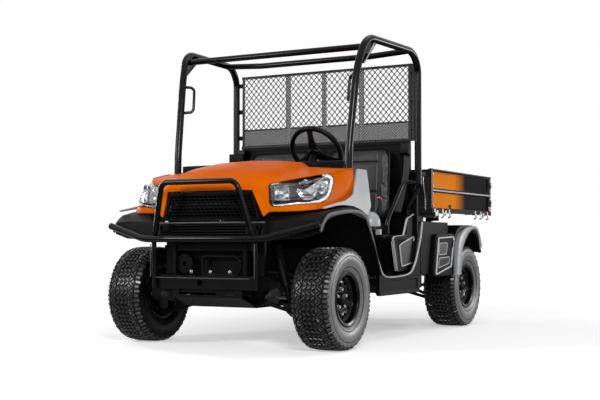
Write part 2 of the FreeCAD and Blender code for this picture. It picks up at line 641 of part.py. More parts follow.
def roll_frame():
    """Two side hoops, the cross tubes between them, grab handles, hip guards and rear screen."""
    tube, top = dim("roll_tube"), dim("roll_top")
    route = [(655, 275, 885), (655, 283, 1250), (672, 360, 1760), (700, 440, top),
             (748, 1190, top), (748, 1190, 1040), (665, 1190, 900), (665, 1190, 395)]
    hoop = bent_tube(route, [900, 900, 140, 150, 90, 90], tube)
    brace = padded_body("brace", "YZ_Plane",
                        [(384, 1800), (398, 1796), (585, top - 22), (585, top - 8),
                         (560, top - 8)], 36, offset=675)
    hoop = hoop.fuse(drawn_shape(brace)).removeSplitter()
    other = hoop.mirror(Vector(0, 0, 0), Vector(1, 0, 0))
    finish_node(compound("hoops", [feature("hoop_left", hoop), feature("hoop_right", other)]),
                "rops_hoops")
    bars = []
    for y, z, reach, sag in ((446, top - 62, 697, 0), (1050, top - 4, 738, 16)):
        bar = bent_tube([(-reach, y, z), (-reach * 0.6, y, z - sag), (reach * 0.6, y, z - sag - 0.01),
                         (reach, y, z)], [600, 600], 42)
        bars.append(feature("cross_tube", largest(bar.cut(hoop).cut(other))))
    finish_node(compound("cross_tubes", bars), "rops_cross_tubes")

    handle = bent_tube([(668, 356, 1728), (604, 404, 1726), (598, 384, 1552), (660, 338, 1545)],
                       [32, 32], 20).cut(hoop)
    finish_node(mirrored_pair(feature("handle", largest(handle)), "grab_handles"), "grab_handles")
    guard = bent_tube([(748, 1190, 1068), (690, 1060, 1066), (662, 850, 790), (662, 850, 702)],
                      [90, 110], 27).cut(hoop)
    finish_node(mirrored_pair(feature("guard", largest(guard)), "hip_guards"), "hip_guards")
    rear_screen()


# ---------------------------------------------------------------- cab

def rear_screen():
    """Sheet steel screen behind the seats: turned border, three stiffening strips and a field of
    punched diamonds in each bay."""
    half, low, high, face = 705, 1358, 1910, 1197
    strips = (-704, -345, -28, 263, 704)
    step_x, step_z, reach_x, reach_z, bottom, rows = 46, 44, 18, 17, 1530, 8
    outline = [Vector(-half, face, low), Vector(half, face, low), Vector(half, face, high),
               Vector(-half, face, high)]
    wires = [Part.makePolygon(outline + outline[:1])]
    for first, last in zip(strips, strips[1:]):
        middle, count = (first + last) / 2, int((last - first - 50) / step_x)
        for row in range(2 * rows - 1):
            across = count - row % 2
            for column in range(across):
                x = middle + (column - (across - 1) / 2) * step_x
                z = bottom + row * step_z / 2
                ring = [Vector(x - reach_x, face, z), Vector(x, face, z - reach_z),
                        Vector(x + reach_x, face, z), Vector(x, face, z + reach_z)]
                wires.append(Part.makePolygon(ring + ring[:1]))
    punched = Part.makeFace(wires, "Part::FaceMakerBullseye").extrude(Vector(0, -SCREEN_SHEET, 0))
    border = Part.makeBox(2 * half, 9, high - low, Vector(-half, face - SCREEN_SHEET - 9, low))
    border = border.cut(Part.makeBox(2 * half - 44, 9, high - low - 44,
                                     Vector(-half + 22, face - SCREEN_SHEET - 9, low + 22)))
    ribs = [Part.makeBox(26, 6, high - low - 44,
                         Vector(x - 13, face - SCREEN_SHEET - 6, low + 22)) for x in strips[1:-1]]
    finish_node(feature("screen", punched.fuse([border] + ribs)), "rear_screen")


def cab():
    """Floor and firewall, sills, seat base, seats, pedals, column and steering wheel."""
    floor = dim("cab_floor")
    tub = padded_body("tub", "YZ_Plane",
                      [(395, 878), (407, 878), (420, 620), (562, floor), (562, floor - 12),
                       (550, floor - 12), (408, 615)], 716, symmetric=True)
    plate = outline_sketch(tub, "YZ_Plane", [(562, floor), (935, floor), (935, floor - 12),
                                             (562, floor - 12)], name="plate")
    pad = tub.newObject("PartDesign::Pad", "plate_pad")
    pad.Profile = plate
    pad.Length = 1300
    pad.Midplane = True
    finish_node(tub, "cab_floor")
    # closed below the doorway, with an upright beside the wheel arch and one beside the seat
    sill = padded_body("sill", "YZ_Plane",
                       [(566, 318), (590, 300), (1225, 300), (1258, 330), (1262, 430),
                        (1262, 780), (1246, 780), (1160, 512), (1120, 452), (1046, 436),
                        (646, 424), (592, 446), (500, 650), (368, 818), (356, 808), (486, 642),
                        (572, 432)], 28, offset=704)
    pocket(sill, "YZ_Plane", [(620, 322), (1210, 322), (1210, 396), (620, 396)], 6, offset=732)
    finish_node(mirrored_pair(sill, "sills"), "sills")
    base = padded_body("base", "YZ_Plane",
                       [(940, 410), (829, 678), (840, 700), (1160, 700), (1160, 410)],
                       1270, symmetric=True)
    finish_node(base, "seat_base")
    cover = padded_body("cover", "YZ_Plane",
                        [(944, 447), (829, 678), (1084, 704), (1103, 817), (1210, 850),
                         (1244, 845), (1244, 665), (1188, 469)], 12, offset=692)
    pocket(cover, "YZ_Plane", [(985, 490), (905, 640), (1120, 668), (1150, 640), (1085, 490)], 5,
           offset=704)
    pocket(cover, "YZ_Plane", [(1008, 508), (948, 620), (1105, 642), (1118, 625), (1062, 508)], 3,
           offset=699)
    finish_node(mirrored_pair(cover, "seat_side_covers"), "seat_side_covers")
    seats()

    tilt = math.radians(dim("wheel_tilt"))
    centre = Vector(290, 530, 1258)
    axis = Vector(0, math.sin(tilt), math.cos(tilt))
    ring = Part.makeTorus(175, 14, centre, axis)
    hub = Part.makeCylinder(38, 34, centre - axis * 40, axis)
    spokes = []
    side = Vector(1, 0, 0)
    ahead = axis.cross(side)
    for angle in (90, 210, 330):
        turn = math.radians(angle)
        reach = side * math.cos(turn) + ahead * math.sin(turn)
        spokes.append(rod(tuple(centre - axis * 22 + reach * 30), tuple(centre + reach * 172), 9))
    wheel = ring.fuse([hub] + spokes).removeSplitter()
    finish_node(feature("steering_wheel", wheel), "steering_wheel")
    column = rod(tuple(centre - axis * 195), tuple(centre - axis * 46), 26)
    column = column.cut(drawn_shape(doc.getObjectsByLabel("dashboard")[0]))
    finish_node(feature("column", largest(column)), "steering_column")
    pads = [box("pedal", (x, 500, 520), (x + 70, 512, 600)) for x in (180, 286)]
    finish_node(compound("pads", pads), "pedals")


def seats():
    """Two seats as plain closed forms: a cushion with a raised front and a back that leans."""
    top = dim("seat_top")
    cushions, backs = [], []
    for middle, width in ((330, 520), (-270, 640)):
        cushion = padded_body("cushion", "YZ_Plane",
                              [(812, 724), (812, top - 22, (820, top - 4)), (846, top),
                               (1168, top - 14), (1168, 702), (834, 702)], width,
                              symmetric=True)
        cushion.Placement = Placement(Vector(middle, 0, 0), Rotation())
        cushions.append(cushion)
        back = padded_body("back", "YZ_Plane",
                           [(1052, 793), (1146, 793), (1156, 1250), (1150, 1330, (1140, 1352)),
                            (1098, 1330), (1090, 1180)], width, symmetric=True)
        back.Placement = Placement(Vector(middle, 0, 0), Rotation())
        backs.append(back)
    finish_node(compound("cushions", cushions), "seat_cushions")
    finish_node(compound("backs", backs), "seat_backs")


def rear_body():
    """Panels beside the engine bay with a stepped vent, and the arches over the rear wheels."""
    panel = padded_body("panel", "YZ_Plane",
                        [(1290, 420), (1770, 420), (1806, 470), (1806, 795), (1275, 795),
                         (1275, 470)], 30, offset=700)
    # vent: outer recess, then two deeper steps inside it
    for corners, depth, face in (
            (((1590, 452), (1782, 476), (1786, 704), (1604, 690)), 10, 730),
            (((1616, 596), (1700, 606), (1706, 682), (1622, 676)), 8, 720),
            (((1606, 478), (1764, 496), (1768, 590), (1612, 574)), 8, 720)):
        pocket(panel, "YZ_Plane", corners, depth, offset=face)
    finish_node(mirrored_pair(panel, "rear_panels"), "rear_panels")
    # upper side of the arch as (y, z) from its front foot to its rear tip
    upper = [(1808, 410), (1808, 640), (1850, 702), (1900, 742), (1990, 778), (2230, 778),
             (2300, 750), (2352, 712), (2442, 570)]
    under = [(2430, 566), (2343, 703), (2294, 739), (2227, 766), (1993, 766), (1906, 732),
             (1859, 694), (1820, 636), (1820, 410)]
    arch = padded_body("arch", "YZ_Plane", upper + under, 248, offset=508)
    band = [(2418, 562), (2332, 694), (2286, 724), (2222, 750), (1998, 750), (1914, 718),
            (1872, 682), (1836, 632), (1836, 410)]
    lip = outline_sketch(arch, "YZ_Plane", upper + band, name="lip", offset=752)
    pad = arch.newObject("PartDesign::Pad", "lip_pad")
    pad.Profile = lip
    pad.Length = 18
    finish_node(mirrored_pair(arch, "rear_arches"), "rear_arches")


# ---------------------------------------------------------------- bed

# the load bed's two pressed panels as (bottom, top), how deep they are pressed, and its top hem
BED_PANELS, PANEL_PRESS, HEM = ((904, 1010), (1040, 1152)), 6, 14
# rope hooks under the sides: where each starts, and how long it is
HOOKS_Y, HOOK_LONG = (1545, 1700, 1850, 2330, 2560), 26


def bed():
    """Dump bed: floor on two channels, headboard, sides, tailgate, pivots and lift cylinder."""
    front, rear, half = dim("bed_front"), dim("bed_rear"), dim("bed_half_width")
    floor, top, wall = dim("bed_floor_top"), dim("bed_top"), dim("bed_wall")
    pivot_y, pivot_z = dim("bed_pivot_y"), dim("bed_pivot_z")
    inside, front_inside, rear_inside = half - wall, front + wall, rear - wall - 6
    under = floor - 12
    plate = box("plate", (-inside, front_inside, under), (inside, rear_inside, floor))
    finish_node(plate, "bed_floor")
    channels = [box("cheek", (x, 2310, 825), (x + 8, 2390, floor - 12)) for x in (-40, 32)]
    for x in (-300, 255):
        channel = Part.makeBox(45, pivot_y - 20 - front - 20, 38, Vector(x, front + 20, 847))
        lug = Part.makeBox(45, 40, floor - 12 - 824, Vector(x, pivot_y - 20, 824))
        hole = Part.makeCylinder(12.6, 60, Vector(x - 5, pivot_y, pivot_z), Vector(1, 0, 0))
        channels.append(feature("channel", channel.fuse(lug).cut(hole).removeSplitter()))
    for side in (-1, 1):
        x = side * GATE_HINGE_X
        strap = Part.makeBox(40, GATE_HINGE_Y - 2650, 8, Vector(x - 20, 2650, under - 8))
        eye = rod((x - 20, GATE_HINGE_Y, GATE_HINGE_Z), (x + 20, GATE_HINGE_Y, GATE_HINGE_Z), 8)
        pin = rod((x - 38, GATE_HINGE_Y, GATE_HINGE_Z), (x + 38, GATE_HINGE_Y, GATE_HINGE_Z), 5)
        channels.append(feature("gate_hinge", strap.fuse([eye, pin]).removeSplitter()))
    finish_node(compound("channels", channels), "bed_channels")
    board = Part.makeBox(2 * half, wall, top - under, Vector(-half, front, under))
    # two pressed panels on the front face between the corner posts
    post = 46
    panels = [Part.makeBox(2 * (half - post), PANEL_PRESS, z1 - z0, Vector(post - half, front, z0))
              for z0, z1 in BED_PANELS]
    hem = Part.makeBox(2 * inside, HEM, HEM, Vector(-inside, front_inside, top - HEM))
    finish_node(feature("headboard", board.cut(panels).fuse(hem)), "bed_headboard")
    side = padded_body("side", "YZ_Plane",
                       [(front_inside, under), (rear_inside, under), (rear_inside, top),
                        (front_inside, top)], wall, offset=inside)
    for z0, z1 in BED_PANELS:
        pocket(side, "YZ_Plane", [(front + post, z0), (rear_inside - post, z0),
                                  (rear_inside - post, z1), (front + post, z1)], PANEL_PRESS,
               offset=half)
    trims = [Part.makeBox(HEM, rear_inside - front_inside - HEM, HEM,
                          Vector(inside - HEM, front_inside + HEM, top - HEM))]
    for y in HOOKS_Y:
        trims.append(Part.makeBox(8, HOOK_LONG, 24, Vector(half - 14, y, under - 20)))
        trims.append(Part.makeBox(20, HOOK_LONG, 6, Vector(half - 14, y, under - 26)))
    shape = drawn_shape(side).fuse(trims).removeSplitter()
    finish_node(mirrored_pair(feature("side_with_hooks", shape), "bed_sides"), "bed_sides")
    gate = Part.makeBox(2 * half, wall, top - floor - 6, Vector(-half, rear - wall, floor + 6))
    gate = gate.cut([Part.makeBox(2 * (half - post), PANEL_PRESS, z1 - max(z0, floor + 24),
                                  Vector(post - half, rear - PANEL_PRESS, max(z0, floor + 24)))
                     for z0, z1 in BED_PANELS])
    for side in (-1, 1):
        for x in (side * GATE_HINGE_X - 36, side * GATE_HINGE_X + 22):
            lug = Part.makeBox(14, 14, floor + 6 - GATE_HINGE_Z,
                               Vector(x, GATE_HINGE_Y - 6, GATE_HINGE_Z))
            eye = rod((x, GATE_HINGE_Y, GATE_HINGE_Z), (x + 14, GATE_HINGE_Y, GATE_HINGE_Z), 9)
            hole = rod((x - 1, GATE_HINGE_Y, GATE_HINGE_Z), (x + 15, GATE_HINGE_Y, GATE_HINGE_Z), 5.4)
            gate = gate.fuse([lug, eye]).cut(hole)
    finish_node(feature("gate", gate.removeSplitter()), "tailgate")

    foot = Vector(0, 2300, 430)
    pins = [feature("foot_pin", rod((-200, foot.y, foot.z), (200, foot.y, foot.z), 10))]
    for side in (-1, 1):
        bracket = Part.makeBox(45, 65, 42, Vector(205 if side > 0 else -250, 2655, 820))
        pin = rod((side * 240, pivot_y, pivot_z), (side * 303, pivot_y, pivot_z), 12)
        pins.append(feature("pivot", bracket.fuse(pin).removeSplitter()))
    finish_node(compound("pins", pins), "bed_pivots")

    head = Vector(0, 2350, 845)
    along = (head - foot).normalize()
    barrel = Part.makeCylinder(28, 330, foot + along * 20, along)
    barrel = barrel.cut(Part.makeCylinder(16.5, 320, foot + along * 40, along))
    eye = Part.makeCylinder(24, 36, foot + Vector(-18, 0, 0), Vector(1, 0, 0))
    hole = Part.makeCylinder(10.5, 60, foot + Vector(-30, 0, 0), Vector(1, 0, 0))
    finish_node(feature("barrel", barrel.fuse(eye).cut(hole).removeSplitter()), "lift_barrel")
    piston = Part.makeCylinder(14, (head - foot).Length - 60, foot + along * 50, along)
    top_eye = Part.makeCylinder(20, 30, head + Vector(-15, 0, 0), Vector(1, 0, 0))
    bore = Part.makeCylinder(10.5, 60, head + Vector(-30, 0, 0), Vector(1, 0, 0))
    finish_node(feature("rod", piston.fuse(top_eye).cut(bore).removeSplitter()), "lift_rod")


def check_and_export():
    """Place every node, stop on any failed object or shape, then write one STEP file each."""
    doc.recompute()
    for thing in NODES:
        y = thing.Placement.Base.y
        thing.setExpression(".Placement.Base.y", "dims.front_axle_y + %.3f" % y)
    doc.recompute()
    for thing in doc.Objects:
        if "Invalid" in thing.State or "Error" in thing.State:
            raise RuntimeError("failed object: %s %s" % (thing.Label, thing.State))
    os.makedirs("parts", exist_ok=True)
    for thing in NODES:
        shape = thing.Shape
        if shape.isNull() or not shape.isValid():
            raise RuntimeError("bad shape: " + thing.Label)
        shape.exportStep("parts/%s.step" % thing.Label)
        print(thing.Label, "solids", len(shape.Solids), "volume %.0f" % shape.Volume)


wheels()
frame()
subframes()
suspension()
knuckles()
steering()
driveline()
hitch()
bull_bar()
front_body()
hood()
roll_frame()
cab()
rear_body()
bed()
check_and_export()
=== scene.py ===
"""Looks of a side by side utility vehicle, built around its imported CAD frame.

Lengths are in millimetres from the middle of the front axle's track at ground level, x to the left,
y rearwards and z up, unless a name or docstring says otherwise. Piece.build turns them into metres
of the row frame. The lamps, the camera and the floor are given in metres of that frame.
"""

import json
import logging
import math
from dataclasses import dataclass, field
from enum import Enum
from typing import Iterable, Sequence

import bmesh
import bpy
import numpy as np
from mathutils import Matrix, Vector

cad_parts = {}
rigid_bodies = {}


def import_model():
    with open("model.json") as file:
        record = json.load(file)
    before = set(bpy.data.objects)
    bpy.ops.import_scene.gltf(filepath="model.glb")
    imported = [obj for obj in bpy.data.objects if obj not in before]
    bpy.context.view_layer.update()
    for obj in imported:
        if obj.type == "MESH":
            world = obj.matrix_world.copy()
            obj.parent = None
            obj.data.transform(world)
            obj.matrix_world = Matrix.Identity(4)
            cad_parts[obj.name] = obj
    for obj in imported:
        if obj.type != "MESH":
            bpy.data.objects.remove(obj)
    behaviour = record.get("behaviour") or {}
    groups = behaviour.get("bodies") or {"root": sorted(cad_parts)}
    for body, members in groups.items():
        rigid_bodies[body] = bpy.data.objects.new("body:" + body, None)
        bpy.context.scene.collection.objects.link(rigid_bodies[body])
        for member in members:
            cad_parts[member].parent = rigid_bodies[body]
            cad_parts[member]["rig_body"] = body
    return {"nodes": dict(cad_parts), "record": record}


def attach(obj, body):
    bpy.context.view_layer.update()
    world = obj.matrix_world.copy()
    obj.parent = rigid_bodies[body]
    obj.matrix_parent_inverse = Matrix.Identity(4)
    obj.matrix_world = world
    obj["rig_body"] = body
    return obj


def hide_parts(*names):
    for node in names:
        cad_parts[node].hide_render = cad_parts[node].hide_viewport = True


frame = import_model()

LOG = logging.getLogger("utility_vehicle")
# y of the front axle in the row frame, and the factor for the other side
AXLE_Y = -1146.0
MIRROR = np.array((-1.0, 1.0, 1.0))
Links = dict[int | str, bpy.types.NodeSocket]
Inputs = dict[int | str, object]
Pair = tuple[float, float]
Point = tuple[float, float, float]
Numbers = tuple[float, ...]


# ---------- finishes


@dataclass(frozen=True)
class Finish:
    """A procedural surface.

    Attributes:
        name: the real material.
        tone: main colour, sRGB hex.
        shade: colour that broad mottling turns towards, sRGB hex.
        rough: least and greatest roughness.
        metal: 1 for bare metal.
        coat: weight of a clear top coat.
        patch: size of the mottling in mm.
        grain: size of the surface grain in mm; a fine grit is drawn as coarse as it needs to show.
        relief: height of the grain in mm.
        glass: share of light that passes through.
        glow: strength of its own light.
        gloss: specular level of what isn't metal.
        fade: where along the piece, in mm, the colour starts to turn dark and where it has turned.
    """

    name: str
    tone: str
    shade: str
    rough: Pair
    metal: float = 0.0
    coat: float = 0.0
    patch: float = 120.0
    grain: float = 2.0
    relief: float = 0.03
    glass: float = 0.0
    glow: float = 0.0
    gloss: float = 0.5
    fade: Pair | None = None


class Look(Enum):
    """The finishes on the vehicle.

    The comment on each says what the real material gives the eye.
    """

    # baked enamel: an even, soft orange
    ORANGE = Finish("orange_enamel", "#F07000", "#E86600", (0.26, 0.34), coat=0.0, patch=400,
                    grain=6, relief=0.012, gloss=0.012)
    # baked powder: near black with clear highlights
    GLOSS_BLACK = Finish("black_powder_coat", "#020203", "#050506", (0.14, 0.22), coat=0.05,
                         patch=90, grain=1.6, relief=0.012, gloss=0.16)
    # sprayed paint: black with broad, dull highlights
    CHASSIS = Finish("satin_chassis_paint", "#050506", "#090908", (0.42, 0.6), patch=140,
                     grain=3, relief=0.05, gloss=0.09)
    # moulded, grained polypropylene: a dull black
    MOULDED = Finish("grained_moulded_plastic", "#070708", "#0B0B0C", (0.36, 0.48), patch=160,
                     grain=1.2, relief=0.06, gloss=0.07)
    # smooth moulded ABS: a soft shine
    SMOOTH_BLACK = Finish("smooth_black_plastic", "#08080A", "#0D0D0E", (0.28, 0.4), patch=200,
                          grain=2, relief=0.02, gloss=0.14)
    # grained polypropylene: a flat grey; on the fender lips, the nose line and the front plate's edges it
    # is a painted highlight on black edges
    GREY = Finish("grey_plastic_and_painted_highlight", "#4A4A4D", "#434347", (0.42, 0.55), patch=160, grain=1.6,
                  relief=0.05)
    # moulded ABS with metal flake: an even silver; the thin silver line along the bed sides' groove is a
    # painted highlight
    SILVER = Finish("silver_plastic", "#B4B5B7", "#AAABAE", (0.34, 0.46), metal=0.15, patch=240,
                    grain=1.0, relief=0.015, gloss=0.15)
    # pale ABS: the frames round the vents and seat covers; along the door's edge the same pale strip is a
    # painted highlight on the black tub's lip
    EDGE = Finish("pale_trim_and_painted_highlight", "#D6D7D9", "#C8C9CB", (0.3, 0.42), patch=200, grain=1.2,
                  relief=0.01, gloss=0.4)
    # tyre rubber painted lighter on the tread blocks than in the grooves: a painted highlight on the
    # blocks
    TREAD_HIGHLIGHT = Finish("tread_rubber_painted_highlight", "#161617", "#242426", (0.26, 0.4), patch=14, grain=1.4,
                   relief=0.12, gloss=0.7)
    # tyre rubber painted lighter and glossier than the tread, on the outer sidewalls only: a painted sheen
    # where the side lamp falls
    SIDEWALL_SHEEN = Finish("sidewall_rubber_painted_sheen", "#5C5C5E", "#6A6A6C", (0.3, 0.44), patch=26,
                      grain=1.6, relief=0.1, gloss=0.9)
    # moulded rubber: very dark grooves
    RUBBER = Finish("tyre_rubber", "#020203", "#050506", (0.4, 0.5), patch=60, grain=1.2,
                    relief=0.06, gloss=0.2)
    # embossed vinyl: dark and leathery
    VINYL = Finish("seat_vinyl", "#131315", "#1B1B1E", (0.42, 0.52), patch=90, grain=2.2,
                   relief=0.08, gloss=0.45)
    # punched, coated sheet: dark with a broad sheen
    SCREEN = Finish("satin_screen_sheet", "#0A0A0B", "#101011", (0.4, 0.5), patch=140, grain=2,
                    relief=0.03, gloss=0.35)
    # baked enamel: charcoal with a soft shine
    CHARCOAL = Finish("charcoal_bed_paint", "#1B1B1D", "#232326", (0.3, 0.42), coat=0.1,
                      patch=260, grain=4, relief=0.02, gloss=0.35)
    # sand-cast iron: dull and coarse
    CAST = Finish("rough_cast_iron", "#3A3A3B", "#2C2B2A", (0.5, 0.7), metal=0.6, patch=60,
                  grain=3, relief=0.25)
    # turned steel: bright grey
    STEEL = Finish("plain_steel", "#8E8E90", "#77777A", (0.3, 0.45), metal=1.0, patch=50,
                   grain=1.5, relief=0.02)
    # zinc plating: pale and bright
    ZINC = Finish("zinc_plated_steel", "#C9CACC", "#AEB0B4", (0.2, 0.32), metal=1.0, patch=20,
                  grain=1, relief=0.01)
    # vacuum plating: almost a mirror
    CHROME = Finish("chrome_reflector", "#E8EAEC", "#D8DADE", (0.05, 0.12), metal=1.0, patch=60,
                    grain=8, relief=0.02)
    # moulded polycarbonate: clear, with sharp reflections
    LENS = Finish("clear_polycarbonate", "#FFFFFF", "#F6F8FA", (0.02, 0.05), glass=1.0,
                  patch=200, grain=20, relief=0.01)
    # opal acrylic: white, with a painted glow that keeps it white in the shade
    WHITE = Finish("lamp_trim_painted_glow", "#F4F4F4", "#E8E9EA", (0.3, 0.4), patch=60, grain=2,
                   relief=0.01, glow=0.25)
    # moulded acrylic: a deep, glossy red
    RED = Finish("red_reflector", "#7E0A18", "#9A1226", (0.15, 0.25), coat=0.6, patch=10,
                 grain=3, relief=0.1)
    # baked enamel, sprayed to black rearwards
    BED_SIDE = Finish("fading_bed_paint", "#FF9208", "#FA8A02", (0.3, 0.4), coat=0.0, patch=400,
                      grain=5, relief=0.015, gloss=0.012, fade=(1930, 2150))
    # moulded neoprene: a greyish black
    BOOT = Finish("bellows_rubber", "#202022", "#2A2A2C", (0.5, 0.62), patch=30, grain=1.5,
                  relief=0.08)


SLOT_LOOK = {
    "black_rubber": Look.RUBBER, "black_steel": Look.GLOSS_BLACK, "frame_steel": Look.CHASSIS,
    "cast_metal": Look.CAST, "bare_steel": Look.STEEL, "orange_paint": Look.ORANGE,
    "black_plastic": Look.MOULDED, "silver_plastic": Look.SILVER, "seat_vinyl": Look.VINYL,
    "screen_mesh": Look.SCREEN, "bed_paint": Look.CHARCOAL, "lamp_glass": Look.LENS,
}


def linear(code: str) -> Numbers:
    """Linear colour of an sRGB hex code.

    Args:
        code: "#RRGGBB".

    Returns:
        Red, green, blue and 1.
    """
    parts = [int(code[i:i + 2], 16) / 255 for i in (1, 3, 5)]
    return (*[p / 12.92 if p <= 0.04045 else ((p + 0.055) / 1.055) ** 2.4 for p in parts], 1.0)


class Graph:
    """A material's or a world's node tree while it is wired."""

    def __init__(self, tree: bpy.types.NodeTree) -> None:
        """Start on a tree."""
        self.tree = tree

    def feed(self, node: bpy.types.Node, links: Links, inputs: Inputs) -> bpy.types.Node:
        """Link and set the inputs of a node.

        Args:
            node: a node of the tree.
            links: the output that feeds each input, by the input's name or number.
            inputs: the value of each other input, by its name or number.

        Returns:
            The same node.
        """
        for key, socket in links.items():
            self.tree.links.new(socket, node.inputs[key])
        for key, value in inputs.items():
            node.inputs[key].default_value = value
        return node

    def add(self, kind: str, links: Links | None = None, inputs: Inputs | None = None,
            **settings: object) -> bpy.types.Node:
        """Add one node with its settings and links.

        Args:
            kind: the node's type.
            links: as in feed.
            inputs: as in feed.
            settings: properties of the node itself.

        Returns:
            The new node.
        """
        made = self.tree.nodes.new(kind)
        for name, value in settings.items():
            setattr(made, name, value)
        return self.feed(made, links or {}, inputs or {})


class Paints:
    """Makes each finish's material once and hands it out.

    The mottling's middle band, MOTTLE, turns the colour. The fading paint is dark inside |x| INNER,
    above z ABOVE and within GROOVE's second number of its first in z, all in metres.
    """

    MOTTLE = (0.35, 0.65)
    MOTTLE_DETAIL = 3.0
    GRAIN_DETAIL = 2.0
    GRAIN_STRENGTH = 0.6
    COAT_ROUGHNESS = 0.06
    INNER = (0.734, 0.732)
    ABOVE = (1.156, 1.160)
    GROOVE = (1.025, 0.015)
    DARK = "#0C0C0E"
    # sockets of the colour Mix node: factor, the two colours and the result
    FACTOR, FIRST, SECOND, RESULT = 0, 6, 7, 2

    def __init__(self) -> None:
        """Start with no material made."""
        self.made: dict[str, bpy.types.Material] = {}

    def get(self, look: Look) -> bpy.types.Material:
        """The material of a look, made when it is first asked for.

        Args:
            look: the finish.

        Returns:
            Its material.
        """
        if look.name not in self.made:
            self.made[look.name] = self.build(look.value)
        return self.made[look.name]

    def build(self, finish: Finish) -> bpy.types.Material:
        """Wire a finish: mottled colour and roughness over a fine grain.

        Args:
            finish: what the surface is.

        Returns:
            A new material.
        """
        material = bpy.data.materials.new(finish.name)
        material.use_nodes = True
        graph = Graph(material.node_tree)
        place = graph.add("ShaderNodeTexCoord").outputs["Object"]
        mottle = graph.add("ShaderNodeTexNoise", {"Vector": place},
                           {"Scale": 1000.0 / finish.patch, "Detail": self.MOTTLE_DETAIL})
        patches = mottle.outputs["Fac"]
        share = graph.add("ShaderNodeMapRange", {"Value": patches},
                          {"From Min": self.MOTTLE[0], "From Max": self.MOTTLE[1]})
        mixed = graph.add("ShaderNodeMix", {self.FACTOR: share.outputs[0]},
                          {self.FIRST: linear(finish.tone), self.SECOND: linear(finish.shade)},
                          data_type="RGBA")
        colour = mixed.outputs[self.RESULT]
        if finish.fade:
            colour = self.faded(graph, colour, finish.fade)
        spread = graph.add("ShaderNodeMapRange", {"Value": patches},
                           {"To Min": finish.rough[0], "To Max": finish.rough[1]})
        grain = graph.add("ShaderNodeTexNoise", {"Vector": place},
                          {"Scale": 1000.0 / finish.grain, "Detail": self.GRAIN_DETAIL})
        bump = graph.add("ShaderNodeBump", {"Height": grain.outputs["Fac"]},
                         {"Strength": self.GRAIN_STRENGTH, "Distance": finish.relief / 1000})
        values = {"Metallic": finish.metal, "Coat Weight": finish.coat,
                  "Coat Roughness": self.COAT_ROUGHNESS, "Transmission Weight": finish.glass,
                  "Specular IOR Level": finish.gloss}
        if finish.glow:
            values["Emission Color"] = linear(finish.tone)
            values["Emission Strength"] = finish.glow
        graph.feed(material.node_tree.nodes["Principled BSDF"],
                   {"Base Color": colour, "Roughness": spread.outputs[0],
                    "Normal": bump.outputs["Normal"]}, values)
        return material

    def faded(self, graph: Graph, colour: bpy.types.NodeSocket,
              fade: Pair) -> bpy.types.NodeSocket:
        """Turn a colour dark rearwards, on the inside, on top and in the groove.

        The share of dark is the greatest of those in y, |x| and z, and 1 within the groove.

        Args:
            graph: the material's graph.
            colour: the colour to darken.
            fade: where in y, in mm, the dark starts and where it is full.

        Returns:
            The darkened colour.
        """
        place = graph.add("ShaderNodeTexCoord").outputs["Object"]
        split = graph.add("ShaderNodeSeparateXYZ", {0: place})
        along_x, along_y, along_z = (split.outputs[axis] for axis in "XYZ")
        side = graph.add("ShaderNodeMath", {0: along_x}, operation="ABSOLUTE").outputs[0]
        rearwards = tuple((y + AXLE_Y) / 1000 for y in fade)
        groove = graph.add("ShaderNodeMath", {0: along_z}, {1: self.GROOVE[0], 2: self.GROOVE[1]},
                           operation="COMPARE")
        dark = groove.outputs[0]
        for value, (start, end) in ((along_y, rearwards), (side, self.INNER), (along_z, self.ABOVE)):
            step = graph.add("ShaderNodeMapRange", {"Value": value},
                             {"From Min": start, "From Max": end})
            dark = graph.add("ShaderNodeMath", {0: dark, 1: step.outputs[0]},
                             operation="MAXIMUM").outputs[0]
        mixed = graph.add("ShaderNodeMix", {self.FACTOR: dark, self.FIRST: colour},
                          {self.SECOND: linear(self.DARK)}, data_type="RGBA")
        return mixed.outputs[self.RESULT]


PAINTS = Paints()


# ---------- surfaces


def to_row(points: np.ndarray) -> np.ndarray:
    """Points in mm from the front axle as metres in the row frame."""
    return (np.asarray(points, float) + (0.0, AXLE_Y, 0.0)) / 1000.0


def unit(vectors: np.ndarray) -> np.ndarray:
    """Vectors scaled to length 1."""
    vectors = np.asarray(vectors, float)
    return vectors / np.maximum(np.linalg.norm(vectors, axis=-1, keepdims=True), 1e-12)


def grid_faces(rows: int, cols: int, wrap_rows: bool = False, wrap_cols: bool = False) -> np.ndarray:
    """Quads of a grid whose vertex (r, c) has the number r * cols + c.

    Args:
        rows: number of rows.
        cols: number of columns.
        wrap_rows: join the last row to the first.
        wrap_cols: join the last column to the first.

    Returns:
        Four vertex numbers for each face.
    """
    r = np.arange(rows if wrap_rows else rows - 1)[:, None]
    c = np.arange(cols if wrap_cols else cols - 1)[None, :]
    r1, c1 = (r + 1) % rows, (c + 1) % cols
    corners = (r * cols + c, r * cols + c1, r1 * cols + c1, r1 * cols + c)
    return np.stack(np.broadcast_arrays(*corners), -1).reshape(-1, 4)


def curve(points: Sequence, count: int, closed: bool = False) -> np.ndarray:
    """A smooth line through points, at even steps of t between each two.

    It is a Catmull-Rom line: between b and c, with a before and d after them,
    p(t) = 0.5 (2 b + (c - a) t + (2 a - 5 b + 4 c - d) t^2 + (3 b - a - 3 c + d) t^3).

    Args:
        points: what it goes through.
        count: how many points it gets.
        closed: join its end to its start.

    Returns:
        The line, one row a point.
    """
    p = np.asarray(points, float)
    if closed:
        p = np.vstack((p[-1], p, p[0], p[1]))
    else:
        p = np.vstack((2 * p[0] - p[1], p, 2 * p[-1] - p[-2]))
    spans = len(p) - 3
    t = np.linspace(0, spans, count, endpoint=not closed)
    i = np.minimum(t.astype(int), spans - 1)
    t = (t - i)[:, None]
    a, b, c, d = p[i], p[i + 1], p[i + 2], p[i + 3]
    return 0.5 * (2 * b + (c - a) * t + (2 * a - 5 * b + 4 * c - d) * t ** 2
                  + (3 * b - a - 3 * c + d) * t ** 3)


